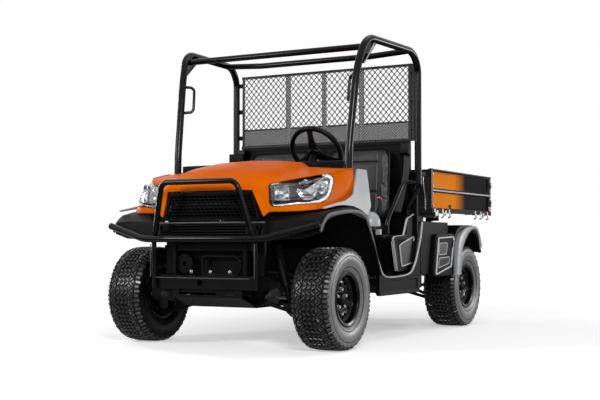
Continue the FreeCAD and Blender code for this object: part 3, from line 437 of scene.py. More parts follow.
def along(keys: np.ndarray, values: np.ndarray, at: np.ndarray) -> np.ndarray:
    """Values between keys, smooth without overshoot.

    Each column has cubic spans whose slope at a key is the harmonic mean of the slopes beside it,
    or 0 where they differ in sign.

    Args:
        keys: rising positions.
        values: one row a key.
        at: where values are wanted.

    Returns:
        One row a wanted position.
    """
    keys, values, at = (np.asarray(v, float) for v in (keys, values, at))
    values = values.reshape(len(keys), -1)
    step = np.diff(keys)[:, None]
    slope = np.diff(values, axis=0) / step
    tangent = np.zeros_like(values)
    same = slope[:-1] * slope[1:] > 0
    mean = 2 * slope[:-1] * slope[1:] / np.where(same, slope[:-1] + slope[1:], 1)
    tangent[1:-1] = np.where(same, mean, 0)
    tangent[0], tangent[-1] = slope[0], slope[-1]
    i = np.clip(np.searchsorted(keys, at, side="right") - 1, 0, len(keys) - 2)
    h = step[i]
    t = ((at - keys[i])[:, None]) / h
    t2, t3 = t * t, t * t * t
    return ((2 * t3 - 3 * t2 + 1) * values[i] + (t3 - 2 * t2 + t) * h * tangent[i]
            + (3 * t2 - 2 * t3) * values[i + 1] + (t3 - t2) * h * tangent[i + 1])


def rounded(corners: Sequence, radius: float, steps: int = 5) -> np.ndarray:
    """A closed outline with its corners rounded.

    A corner c becomes p(t) = (1 - t)^2 s + 2 t (1 - t) c + t^2 e, with s and e where an arc of the
    radius touches its edges, or nearer where they are short.

    Args:
        corners: the outline.
        radius: radius of the rounding.
        steps: points on each corner.

    Returns:
        The outline, one row a point.
    """
    p = np.asarray(corners, float)[:, :2]
    before, after = np.roll(p, 1, 0) - p, np.roll(p, -1, 0) - p
    la, lb = np.linalg.norm(before, axis=1), np.linalg.norm(after, axis=1)
    u, v = before / la[:, None], after / lb[:, None]
    half = np.arccos(np.clip((u * v).sum(1), -1, 1)) / 2
    reach = np.minimum(radius / np.tan(half), 0.45 * np.minimum(la, lb))
    t = np.linspace(0, 1, steps)[None, :, None]
    start, end = p + u * reach[:, None], p + v * reach[:, None]
    arc = (1 - t) ** 2 * start[:, None] + 2 * t * (1 - t) * p[:, None] + t ** 2 * end[:, None]
    return arc.reshape(-1, 2)


def bent_path(corners: Sequence, radii: Sequence[float], steps: int = 10) -> np.ndarray:
    """Points along straight runs joined by tangent arcs.

    Args:
        corners: where the runs would meet.
        radii: bend radius at each inner corner.
        steps: points on each arc.

    Returns:
        The path, one row a point.
    """
    p = np.asarray(corners, float)
    path = [p[0]]
    for before, corner, after, radius in zip(p[:-2], p[1:-1], p[2:], radii):
        into, out = unit(corner - before), unit(after - corner)
        turn = math.acos(float(np.clip(into @ out, -1, 1)))
        reach = radius * math.tan(turn / 2)
        centre_way = unit(out - into)
        centre = corner + centre_way * radius / math.cos(turn / 2)
        first, last = corner - into * reach - centre, corner + out * reach - centre
        a = np.linspace(0, turn, steps)[:, None]
        arc = (np.sin(turn - a) * first + np.sin(a) * last) / math.sin(turn)
        path.extend(centre + arc)
    path.append(p[-1])
    return np.array(path)


def frames(path: np.ndarray, closed: bool = False) -> tuple[np.ndarray, np.ndarray]:
    """Two directions across a path, carried along it without twist.

    Each side direction is the one before it less its part along the path, scaled to length 1.

    Args:
        path: one row a point.
        closed: its end joins its start.

    Returns:
        The side direction at each point, and the one square to it and to the path.
    """
    if closed:
        ahead = unit(np.roll(path, -1, 0) - np.roll(path, 1, 0))
    else:
        ahead = unit(np.gradient(path, axis=0))
    side = np.zeros_like(path)
    start = np.array((0.0, 0.0, 1.0)) if abs(ahead[0][2]) < 0.9 else np.array((0.0, 1.0, 0.0))
    side[0] = unit(start - ahead[0] * (start @ ahead[0]))
    for i in range(1, len(path)):
        side[i] = unit(side[i - 1] - ahead[i] * (side[i - 1] @ ahead[i]))
    return side, np.cross(ahead, side)


class Piece:
    """Collects surfaces in mm and makes one object of them."""

    def __init__(self, name: str, look: Look, body: str = "chassis", slot: str | None = None) -> None:
        """Start an empty piece.

        Args:
            name: name of the object.
            look: its finish.
            body: what it rides on.
            slot: its material slot; without one, that of the look, or black plastic.
        """
        self.name, self.look, self.body = name, look, body
        slots = [key for key, kind in SLOT_LOOK.items() if kind is look]
        self.slot = slot or (slots[0] if slots else "black_plastic")
        self.points: list[np.ndarray] = []
        self.faces: list[np.ndarray] = []
        self.count = 0

    def add(self, points: np.ndarray, *faces: np.ndarray) -> "Piece":
        """Add vertices and the faces on them.

        Args:
            points: any shape that ends in 3.
            faces: vertex numbers, an array for each number of corners.

        Returns:
            The piece.
        """
        points = np.asarray(points, float).reshape(-1, 3)
        self.points.append(points)
        self.faces.extend(np.atleast_2d(np.asarray(f, int)) + self.count for f in faces if len(f))
        self.count += len(points)
        return self

    def sheet(self, grid: np.ndarray, wrap_rows: bool = False, wrap_cols: bool = False,
              caps: bool = False) -> "Piece":
        """Add a grid of points.

        Args:
            grid: rows x columns x 3.
            wrap_rows: join the last row to the first.
            wrap_cols: join the last column to the first.
            caps: close the first and the last row.

        Returns:
            The piece.
        """
        rows, cols = grid.shape[:2]
        faces = [grid_faces(rows, cols, wrap_rows, wrap_cols)]
        if caps:
            faces += [np.arange(cols)[::-1][None], (np.arange(cols) + (rows - 1) * cols)[None]]
        return self.add(grid, *faces)

    def tube(self, path: np.ndarray, radius: float | np.ndarray, sides: int = 24,
             closed: bool = False) -> "Piece":
        """Add a round tube: p(s, t) = path(s) + r(s) (cos t u(s) + sin t v(s)).

        Args:
            path: its middle, one row a point.
            radius: one, or one for each point.
            sides: points round it.
            closed: its end joins its start.

        Returns:
            The piece.
        """
        u, v = frames(path, closed)
        t = np.linspace(0, 2 * math.pi, sides, endpoint=False)[None, :, None]
        r = np.broadcast_to(np.asarray(radius, float), (len(path),))[:, None, None]
        grid = path[:, None] + r * (np.cos(t) * u[:, None] + np.sin(t) * v[:, None])
        return self.sheet(grid, wrap_rows=closed, wrap_cols=True, caps=not closed)

    def strip(self, path: np.ndarray, section: np.ndarray, closed: bool = False,
              up: Sequence[float] | None = None) -> "Piece":
        """Add a bar: p(s, k) = path(s) + a(k) u(s) + b(k) v(s) for a closed section (a, b).

        Args:
            path: where the section goes, one row a point.
            section: (a, b) round the section.
            closed: the path's end joins its start.
            up: a direction that fixes b; without it, there is no twist.

        Returns:
            The piece.
        """
        if up is None:
            u, v = frames(path, closed)
        else:
            ahead = unit(np.roll(path, -1, 0) - np.roll(path, 1, 0)) if closed else \
                unit(np.gradient(path, axis=0))
            u = unit(np.cross(ahead, np.asarray(up, float)))
            v = np.cross(u, ahead)
        s = np.asarray(section, float)
        grid = path[:, None] + s[None, :, :1] * u[:, None] + s[None, :, 1:] * v[:, None]
        return self.sheet(grid, wrap_rows=closed, wrap_cols=True, caps=not closed)

    def spin(self, profile: Sequence, centre: Sequence[float], axis: Sequence[float] = (1, 0, 0),
             sides: int = 64, closed: bool = True) -> "Piece":
        """Turn (a, r) pairs about an axis: p(k, t) = c + a(k) n + r(k) (cos t u + sin t v).

        Args:
            profile: (distance along the axis, radius) pairs.
            centre: where the axis starts.
            axis: its direction.
            sides: points round it.
            closed: the profile's end joins its start.

        Returns:
            The piece.
        """
        n = unit(np.asarray(axis, float))
        u = unit(np.cross(n, (0, 0, 1) if abs(n[2]) < 0.9 else (0, 1, 0)))
        v = np.cross(n, u)
        p = np.asarray(profile, float)
        t = np.linspace(0, 2 * math.pi, sides, endpoint=False)[None, :, None]
        grid = (np.asarray(centre, float) + p[:, :1, None] * n + p[:, 1:, None]
                * (np.cos(t) * u + np.sin(t) * v))
        return self.sheet(grid, wrap_rows=closed, wrap_cols=True)

    def prism(self, outline: np.ndarray, low: float, high: float, plane: str = "YZ") -> "Piece":
        """Add an outline's straight extrusion along the third axis.

        Args:
            outline: closed outline in the plane.
            low: where it starts on the third axis.
            high: where it ends.
            plane: which two axes the outline is given in.

        Returns:
            The piece.
        """
        o = np.asarray(outline, float)
        axes = {"YZ": (1, 2, 0), "XZ": (0, 2, 1), "XY": (0, 1, 2)}[plane]
        grid = np.zeros((2, len(o), 3))
        grid[..., axes[0]], grid[..., axes[1]] = o[:, 0], o[:, 1]
        grid[0, :, axes[2]], grid[1, :, axes[2]] = low, high
        return self.sheet(grid, wrap_cols=True, caps=True)

    def block(self, low: Sequence[float], high: Sequence[float]) -> "Piece":
        """Add a box between two corners."""
        (x0, y0, z0), (x1, y1, z1) = low, high
        return self.prism([(x0, y0), (x1, y0), (x1, y1), (x0, y1)], z0, z1, "XY")

    def beam(self, start: Sequence[float], end: Sequence[float], width: float, height: float,
             up: Sequence[float] = (0, 0, 1)) -> "Piece":
        """Add a bar of rectangular section between two points.

        Args:
            start: middle of one end.
            end: middle of the other.
            width: size across up.
            height: size along up.
            up: the direction of its height.

        Returns:
            The piece.
        """
        w, h = width / 2, height / 2
        return self.strip(np.array((start, end), float), [(-w, -h), (w, -h), (w, h), (-w, h)], up=up)

    def hexes(self, places: Sequence, normal: Sequence[float], across: float,
              height: float) -> "Piece":
        """Add six-sided bolt heads with a washer face and a chamfered top.

        Args:
            places: middle of each head's foot.
            normal: where the heads point.
            across: size across the flats.
            height: height of a head.

        Returns:
            The piece.
        """
        n = unit(np.asarray(normal, float))
        u = unit(np.cross(n, (0, 0, 1) if abs(n[2]) < 0.9 else (0, 1, 0)))
        v = np.cross(n, u)
        t = np.linspace(0, 2 * math.pi, 6, endpoint=False)[:, None]
        ring = np.cos(t) * u + np.sin(t) * v
        r = across / math.sqrt(3)
        rings = np.stack([ring * r * 1.35 - n * 0.5, ring * r * 1.35 + n * height * 0.16,
                          ring * r + n * height * 0.16, ring * r + n * height * 0.86,
                          ring * r * 0.82 + n * height])
        for place in np.atleast_2d(np.asarray(places, float)):
            self.sheet(rings + place, wrap_cols=True, caps=True)
        return self

    def mirrored(self) -> "Piece":
        """Add the mirror image of all that is here, across the centre plane.

        Returns:
            The piece.
        """
        points, faces, count = list(self.points), list(self.faces), self.count
        self.points += [p * MIRROR for p in points]
        self.faces += [f[:, ::-1] + count for f in faces]
        self.count *= 2
        return self

    def build(self, smooth: float = 35.0, bevel: float = 0.0, segments: int = 2,
              thick: float = 0.0, replaces: Sequence[str] = (), merge: bool = True) -> bpy.types.Object:
        """Make the object.

        Args:
            smooth: edges that turn by fewer degrees are shaded smooth.
            bevel: width of a live bevel on the sharper edges.
            segments: steps of that bevel.
            thick: wall added inwards to an open sheet.
            replaces: CAD nodes that this piece stands for.
            merge: join vertices in one place and turn faces outwards.

        Returns:
            The object, riding on its body.
        """
        mesh = bpy.data.meshes.new(self.name)
        points = to_row(np.vstack(self.points))
        sizes = np.concatenate([np.full(len(f), f.shape[1]) for f in self.faces])
        corners = np.concatenate([f.ravel() for f in self.faces])
        mesh.vertices.add(len(points))
        mesh.vertices.foreach_set("co", points.ravel())
        mesh.loops.add(len(corners))
        mesh.loops.foreach_set("vertex_index", corners)
        mesh.polygons.add(len(sizes))
        mesh.polygons.foreach_set("loop_start", np.concatenate(([0], np.cumsum(sizes)[:-1])))
        mesh.update(calc_edges=True)
        return settle(mesh, self.name, self.look, self.body, smooth, bevel, segments,
                      thick, replaces, merge)


def settle(mesh: bpy.types.Mesh, name: str, look: Look, body: str, smooth: float,
           bevel: float = 0.0, segments: int = 2, thick: float = 0.0,
           replaces: Sequence[str] = (), merge: bool = True) -> bpy.types.Object:
    """Turn a mesh into an object that rides on a body, with its finish and modifiers.

    Args:
        mesh: the mesh, in metres of the row frame.
        name: name of the object.
        look: its finish.
        body: what it rides on.
        smooth: as in Piece.build, like the rest.
        bevel: width of a live bevel.
        segments: steps of that bevel.
        thick: wall of an open sheet.
        replaces: CAD nodes it stands for.
        merge: join vertices and turn faces outwards.

    Returns:
        The object.
    """
    if merge:
        work = bmesh.new()
        work.from_mesh(mesh)
        bmesh.ops.remove_doubles(work, verts=work.verts, dist=2e-6)
        bmesh.ops.recalc_face_normals(work, faces=work.faces)
        work.to_mesh(mesh)
        work.free()
    mesh.polygons.foreach_set("use_smooth", np.ones(len(mesh.polygons), bool))
    mesh.set_sharp_from_angle(angle=math.radians(smooth))
    mesh.materials.clear()
    mesh.materials.append(PAINTS.get(look))
    made = bpy.data.objects.new(name, mesh)
    bpy.context.scene.collection.objects.link(made)
    if thick:
        wall = made.modifiers.new("wall", "SOLIDIFY")
        wall.thickness, wall.offset, wall.use_even_offset = thick / 1000, -1.0, True
    if bevel:
        edge = made.modifiers.new("edge", "BEVEL")
        edge.width, edge.segments = bevel / 1000, segments
        edge.limit_method, edge.angle_limit = "ANGLE", math.radians(32)
        edge.use_clamp_overlap = True
        edge.harden_normals = False
    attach(made, body)
    if replaces:
        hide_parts(*replaces)
    LOG.info("piece %s on %s", name, body)
    return made


def refine(node: str, look: Look, bevel: float = 1.2, smooth: float = 32.0,
           segments: int = 2) -> bpy.types.Object:
    """Stand a merged copy of a CAD node, with softened edges, in the node's place.

    Args:
        node: CAD node.
        look: its finish.
        bevel: width of the softened edges in mm.
        smooth: shading angle in degrees.
        segments: steps of the bevel.

    Returns:
        The new object.
    """
    source = frame["nodes"][node]
    mesh = source.data.copy()
    mesh.name = node + "_body"
    work = bmesh.new()
    work.from_mesh(mesh)
    bmesh.ops.remove_doubles(work, verts=work.verts, dist=1e-5)
    bmesh.ops.dissolve_limit(work, angle_limit=math.radians(0.6), verts=work.verts,
                             edges=work.edges)
    bmesh.ops.recalc_face_normals(work, faces=work.faces)
    work.to_mesh(mesh)
    work.free()
    return settle(mesh, node + "_body", look, source["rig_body"], smooth, bevel=bevel,
                  segments=segments, replaces=[node], merge=False)


# ---------- studio


@dataclass(frozen=True)
class Lamp:
    """A soft box: where it stands, what it faces, its size in metres and its power in watts."""

    name: str
    place: Point
    target: Point
    size: Pair
    power: float


@dataclass
class Studio:
    """Camera, pale floor, white surroundings and soft boxes, in metres and degrees.

    The floor turns into the white behind it over floor_ring and shines by lift near the object. The
    world's light grows from sky's first strength to its second over grade, front to back.
    """

    eye: Point = (3.6857, -7.0456, 0.671)
    yaw_deg: float = 28.69
    pitch_deg: float = 2.05
    lens_mm: float = 65.54
    sensor_mm: float = 36.0
    floor_half: float = 30.0
    floor_tone: str = "#F4F4F4"
    floor_ring: Pair = (1.9, 4.6)
    lift: float = 0.43
    grade: Pair = (-0.9, 0.5)
    sky: Pair = (0.05, 0.2)
    lamps: tuple[Lamp, ...] = (
        Lamp("key_box", (4.4, -6.4, 3.4), (0.2, -0.7, 0.9), (1.6, 1.6), 300),
        Lamp("front_box", (-3.4, -5.6, 2.6), (0.0, -1.0, 0.8), (1.2, 1.6), 110),
        Lamp("side_box", (4.4, 4.4, 1.5), (0.7, 0.0, 0.5), (1.6, 1.4), 80),
        Lamp("top_box", (1.6, 0.4, 5.0), (0.0, 0.2, 1.0), (2.4, 2.4), 38),
        Lamp("far_box", (-5.4, 0.4, 2.2), (0.0, 0.2, 1.2), (0.6, 3.0), 120),
    )

    def camera(self) -> None:
        """Place the camera."""
        data = bpy.data.cameras.new("camera")
        data.sensor_width, data.lens = self.sensor_mm, self.lens_mm
        made = bpy.data.objects.new("camera", data)
        bpy.context.scene.collection.objects.link(made)
        yaw, pitch = math.radians(self.yaw_deg), math.radians(self.pitch_deg)
        facing = Vector((-math.sin(yaw) * math.cos(pitch), math.cos(yaw) * math.cos(pitch),
                         math.sin(pitch)))
        made.location = self.eye
        made.rotation_euler = facing.to_track_quat("-Z", "Y").to_euler()
        bpy.context.scene.camera = made

    def surroundings(self) -> None:
        """White for what is seen behind, in or through a piece, and a softer graded light."""
        world = bpy.data.worlds.new("surroundings")
        bpy.context.scene.world = world
        world.use_nodes = True
        graph = Graph(world.node_tree)
        way = graph.add("ShaderNodeTexCoord").outputs["Generated"]
        split = graph.add("ShaderNodeSeparateXYZ", {0: way})
        soft = graph.add("ShaderNodeMapRange", {"Value": split.outputs["Y"]},
                         {"From Min": self.grade[0], "From Max": self.grade[1],
                          "To Min": self.sky[0], "To Max": self.sky[1]})
        rays = graph.add("ShaderNodeLightPath").outputs
        shown = rays["Is Camera Ray"]
        for kind in ("Is Transmission Ray", "Is Glossy Ray"):
            shown = graph.add("ShaderNodeMath", {0: shown, 1: rays[kind]},
                              operation="MAXIMUM").outputs[0]
        pick = graph.add("ShaderNodeMix", {Paints.FACTOR: shown, Paints.FIRST: soft.outputs[0]},
                         {Paints.SECOND: linear("#FFFFFF")}, data_type="RGBA")
        graph.feed(world.node_tree.nodes["Background"], {"Color": pick.outputs[Paints.RESULT]},
                   {"Strength": 1.0})

    def floor(self) -> None:
        """A pale floor that keeps the shadow and turns into the white behind it far away.

        Its colour goes to black and its own light, which only the camera sees, from lift to 1 over
        the floor's ring.
        """
        half = self.floor_half
        mesh = bpy.data.meshes.new("floor")
        mesh.from_pydata([(-half, -half, 0), (half, -half, 0), (half, half, 0), (-half, half, 0)],
                         [], [(0, 1, 2, 3)])
        material = bpy.data.materials.new("matt_white_floor")
        material.use_nodes = True
        graph = Graph(material.node_tree)
        place = graph.add("ShaderNodeTexCoord").outputs["Object"]
        away = graph.add("ShaderNodeVectorMath", {0: place}, operation="LENGTH")
        far = graph.add("ShaderNodeMapRange", {"Value": away.outputs["Value"]},
                        {"From Min": self.floor_ring[0], "From Max": self.floor_ring[1]}).outputs[0]
        pale = graph.add("ShaderNodeMix", {Paints.FACTOR: far},
                         {Paints.FIRST: linear(self.floor_tone), Paints.SECOND: linear("#000000")},
                         data_type="RGBA")
        level = graph.add("ShaderNodeMapRange", {"Value": far}, {"To Min": self.lift})
        rays = graph.add("ShaderNodeLightPath").outputs
        seen = graph.add("ShaderNodeMath", {0: level.outputs[0], 1: rays["Is Camera Ray"]},
                         operation="MULTIPLY")
        graph.feed(material.node_tree.nodes["Principled BSDF"],
                   {"Base Color": pale.outputs[Paints.RESULT],
                    "Emission Strength": seen.outputs[0]},
                   {"Roughness": 0.8, "Specular IOR Level": 0.1,
                    "Emission Color": linear("#FFFFFF")})
        mesh.materials.append(material)
        made = bpy.data.objects.new("floor", mesh)
        bpy.context.scene.collection.objects.link(made)

    def lights(self) -> None:
        """Hang the soft boxes."""
        for lamp in self.lamps:
            data = bpy.data.lights.new(lamp.name, "AREA")
            data.shape, data.size, data.size_y = "RECTANGLE", *lamp.size
            data.energy = lamp.power
            made = bpy.data.objects.new(lamp.name, data)
            made.location = lamp.place
            facing = Vector(lamp.target) - Vector(lamp.place)
            made.rotation_euler = facing.to_track_quat("-Z", "Y").to_euler()
            bpy.context.scene.collection.objects.link(made)

    def build(self) -> None:
        """Set up the whole studio."""
        bpy.context.scene.view_settings.view_transform = "Standard"
        self.camera()
        self.surroundings()
        self.floor()
        self.lights()


# ---------- wheels


def carved(piece: bpy.types.Object, cutter: bpy.types.Object) -> None:
    """Take a cutter's volume out of a piece and drop the cutter.

    Args:
        piece: what is cut.
        cutter: the volume to take out.
    """
    step = piece.modifiers.new("carve", "BOOLEAN")
    step.operation, step.solver, step.object = "DIFFERENCE", "EXACT", cutter
    bpy.context.view_layer.update()
    seen = piece.evaluated_get(bpy.context.evaluated_depsgraph_get())
    mesh = bpy.data.meshes.new_from_object(seen)
    piece.modifiers.clear()
    old, piece.data = piece.data, mesh
    bpy.data.meshes.remove(old)
    bpy.data.objects.remove(cutter)


@dataclass(frozen=True)
class TyreSize:
    """A tyre and rim at one corner: track and axle place, half width and bead radius in mm."""

    corner: str
    side: int
    track: float
    axle: float
    half: float
    crown: float = 311.0
    bead: float = 152.0
    repeats: int = 32


@dataclass
class Tyre:
    """Carcass with a raised all-terrain tread."""

    size: TyreSize
    depth: float = 10.0
    # half section of the carcass: (share of the half width, radius)
    section: tuple = ((0.80, 152), (0.80, 164), (0.845, 172), (0.90, 184), (0.955, 202),
                      (0.99, 222), (1.0, 242), (0.985, 264), (0.945, 282), (0.86, 293),
                      (0.70, 298), (0.40, 300.5), (0.0, 301))

    def cells(self) -> dict[int, list]:
        """Outlines of the blocks in one repeat of the tread.

        Returns:
            By number of corners, lists of (distance along the tread from the repeat's middle,
            distance across it).
        """
        found: dict[int, list] = {3: [], 4: [], 8: []}
        half = math.pi * self.size.crown / self.size.repeats
        for way in (-1, 1):
            # slanted bars: each row leans against the one before it, so that they read as chevrons
            row = way * half / 2
            for column in (-31, 0, 31):
                found[4].append([(row - 7 * way - 6, column - 12), (row - 7 * way + 6, column - 12),
                                 (row + 7 * way + 6, column + 12), (row + 7 * way - 6, column + 12)])
            for side in (-1, 1):
                # a zig-zag rib, the triangles in its bays and a lug over the shoulder
                rib = [(2, 73), (2, 85), (half - 2, 59), (half - 2, 47)]
                found[4].append([(way * s, side * u) for s, u in rib])
                inner = [(0, 66), (-18, 48), (18, 48)] if way > 0 else \
                    [(half, 66), (half - 17, 87), (half + 17, 87)]
                found[3].append([(s, side * u) for s, u in inner])
                start, end = (0, 120) if way > 0 else (half, 128)
                lug = [(-10, 95), (0, 93), (10, 95), (11, 108), (10, end), (0, end + 3), (-10, end),
                       (-11, 108)]
                found[8].append([(start + s, side * u) for s, u in lug])
        return found

    def build(self) -> None:
        """Make the carcass and its tread."""
        size = self.size
        centre = np.array((size.side * size.track, size.axle, size.crown))
        half = curve([(size.half * share, radius) for share, radius in self.section], 60)
        ring = np.vstack((half, (half[-2::-1] * (-1, 1))))
        inner = [(-0.8 * size.half, size.bead - 3), (0.8 * size.half, size.bead - 3)]
        body = "wheel_" + size.corner
        carcass = Piece("tyre_carcass_" + size.corner, Look.RUBBER, body)
        carcass.spin(np.vstack((ring, inner)), centre, sides=120)
        for radius, share in ((196, 0.945), (259, 0.993)):
            for side in (-1, 1):
                band = [(side * size.half * share, radius - 4), (side * (size.half * share + 2), radius),
                        (side * size.half * share, radius + 4), (side * (size.half * share - 5), radius)]
                carcass.spin(band, centre, sides=120)
        carcass.build(smooth=40, replaces=["tyre_" + size.corner])
        # a skin of lighter rubber on the outer side only is a painted sheen; the inner sidewall keeps the
        # black rubber
        walls = Piece("tyre_outer_sidewall_sheen_" + size.corner, Look.SIDEWALL_SHEEN, body)
        outer = half[(half[:, 1] > 163) & (half[:, 1] < 288)]
        skin = np.vstack((outer + (1.2, 0), outer[::-1] - (3, 0))) * (size.side, 1)
        walls.spin(skin, centre, sides=120)
        walls.build(smooth=50)
        # the blocks' lighter rubber is a painted highlight against the near-black grooves of the same
        # rubber
        tread = Piece("tyre_tread_" + size.corner, Look.TREAD_HIGHLIGHT, body)
        outward = half[::-1]
        steps = np.linalg.norm(np.diff(outward, axis=0), axis=1)
        arc = np.concatenate(([0], np.cumsum(steps)))
        facing = unit(np.gradient(outward, axis=0))[:, ::-1] * (-1, 1)
        turn = 2 * math.pi / size.repeats
        for corners, cells in self.cells().items():
            cell = np.array(cells, float)
            middle = cell.mean(axis=1, keepdims=True)
            # base, shoulder and top ring of every block
            rings = np.stack([middle + (cell - middle) * scale for scale in (1.0, 0.9, 0.7)], 1)
            lift = np.array((-2.0, self.depth - 2.0, self.depth))[None, :, None]
            across = np.abs(rings[..., 1])
            x = np.interp(across, arc, outward[:, 0])
            r = np.interp(across, arc, outward[:, 1])
            nx, nr = (np.interp(across, arc, facing[:, i]) for i in (0, 1))
            lift = lift * np.where(across > 108, 0.62, 1.0)
            x, r = (x + nx * lift) * np.sign(rings[..., 1]), r + nr * lift
            angle = rings[..., 0] / size.crown + np.arange(size.repeats)[:, None, None, None] * turn
            if size.side < 0:
                angle = -angle
            grid = np.stack(np.broadcast_arrays(x, -r * np.cos(angle), r * np.sin(angle)), -1) + centre
            blocks = grid.reshape(-1, 3, corners, 3)
            count = len(blocks)
            base = np.arange(count)[:, None, None] * 3 * corners
            sides = (grid_faces(3, corners, wrap_cols=True)[None] + base).reshape(-1, 4)
            tops = (np.arange(corners) + 2 * corners)[None] + base[:, 0]
            tread.add(blocks, sides, tops)
        tread.build(smooth=25)


@dataclass
class Rim:
    """Pressed steel wheel: rolled flanges, drop centre, slotted disc, nuts and a hub cap."""

    size: TyreSize
    slots: int = 10
    nuts: int = 5

    def build(self) -> None:
        """Make the wheel, its nuts and its valve."""
        size = self.size
        seat = 0.8 * size.half
        bead, inner = size.bead, size.bead - 8
        face = seat - 34
        centre = np.array((size.side * size.track, size.axle, size.crown))
        out = np.array((size.side, 0.0, 0.0))
        body = "wheel_" + size.corner
        outline = [(seat - 50, bead - 18), (seat - 38, bead - 2), (seat - 2, bead - 1),
                   (seat, bead + 10), (seat + 3, bead + 15), (seat + 9, bead + 15),
                   (seat + 9, bead + 8), (seat + 5, inner - 1), (seat - 30, inner - 3),
                   (seat - 44, inner - 20), (face - 16, inner - 22), (face + 2, 112), (face + 5, 98),
                   (face, 84), (face - 10, 70), (face - 8, 52), (face - 7, 30), (face - 15, 30),
                   (face - 15, 60), (face - 8, 84), (face - 5, 104), (face - 22, inner - 16),
                   (seat - 60, inner - 18), (-seat + 40, inner - 16), (-seat + 30, inner),
                   (-seat - 7, inner), (-seat - 7, bead + 14), (-seat, bead + 14), (-seat, bead - 1),
                   (-seat + 34, bead - 1), (-seat + 44, bead - 16)]
        rim = Piece("wheel_disc_" + size.corner, Look.GLOSS_BLACK, body)
        rim.spin(rounded(outline, 5, 4), centre, out, sides=96)
        made = rim.build(smooth=50, replaces=["rim_" + size.corner])
        cutters = Piece("slot_cutters", Look.GLOSS_BLACK, body)
        for i in range(self.slots):
            a = 2 * math.pi * i / self.slots
            way = np.array((0, math.cos(a), math.sin(a)))
            cross = np.array((0, -math.sin(a), math.cos(a)))
            t = np.linspace(0, 2 * math.pi, 14, endpoint=False)[:, None]
            oval = centre + way * 97 + 9 * np.cos(t) * way + 15 * np.sin(t) * cross
            cutters.sheet(np.stack((oval + out * (face - 40), oval + out * (face + 30))),
                          wrap_cols=True, caps=True)
        carved(made, cutters.build())
        made.data.set_sharp_from_angle(angle=math.radians(50))
        cap = Piece("hub_cap_" + size.corner, Look.MOULDED, body)
        cap.spin([(face - 40, 40), (face + 6, 38), (face + 12, 34), (face + 15, 26), (face + 16, 0.1),
                  (face - 40, 0.1)], centre, out, sides=40)
        cap.build(smooth=40)
        metal = Piece("wheel_nuts_" + size.corner, Look.ZINC, body)
        ring = 2 * math.pi * np.arange(self.nuts) / self.nuts + 0.3
        spots = centre + out * (face - 9) + np.stack((0 * ring, np.cos(ring), np.sin(ring)), -1) * 57
        metal.hexes(spots, out, 19, 17)
        metal.build(smooth=25)
        valve = Piece("valve_" + size.corner, Look.RUBBER, body)
        foot = centre + out * (face - 2) + np.array((0, 0.5, 0.8)) * 126
        valve.tube(np.array((foot - out * 22, foot + out * 8, foot + out * 26)),
                   np.array((5.5, 4.0, 3.2)), 12)
        valve.build()


@dataclass
class Wheels:
    """All four wheels: the name, track, axle place and tyre's half width at each end."""

    ends: tuple = (("front", 676.0, 0.0, 127.0), ("rear", 635.0, 2150.0, 132.0))

    def build(self) -> None:
        """Make them."""
        for end, track, axle, half in self.ends:
            for name, side in (("left", 1), ("right", -1)):
                size = TyreSize(f"{end}_{name}", side, track, axle, half)
                Tyre(size).build()
                Rim(size).build()


# ---------- hood, headlights and grille


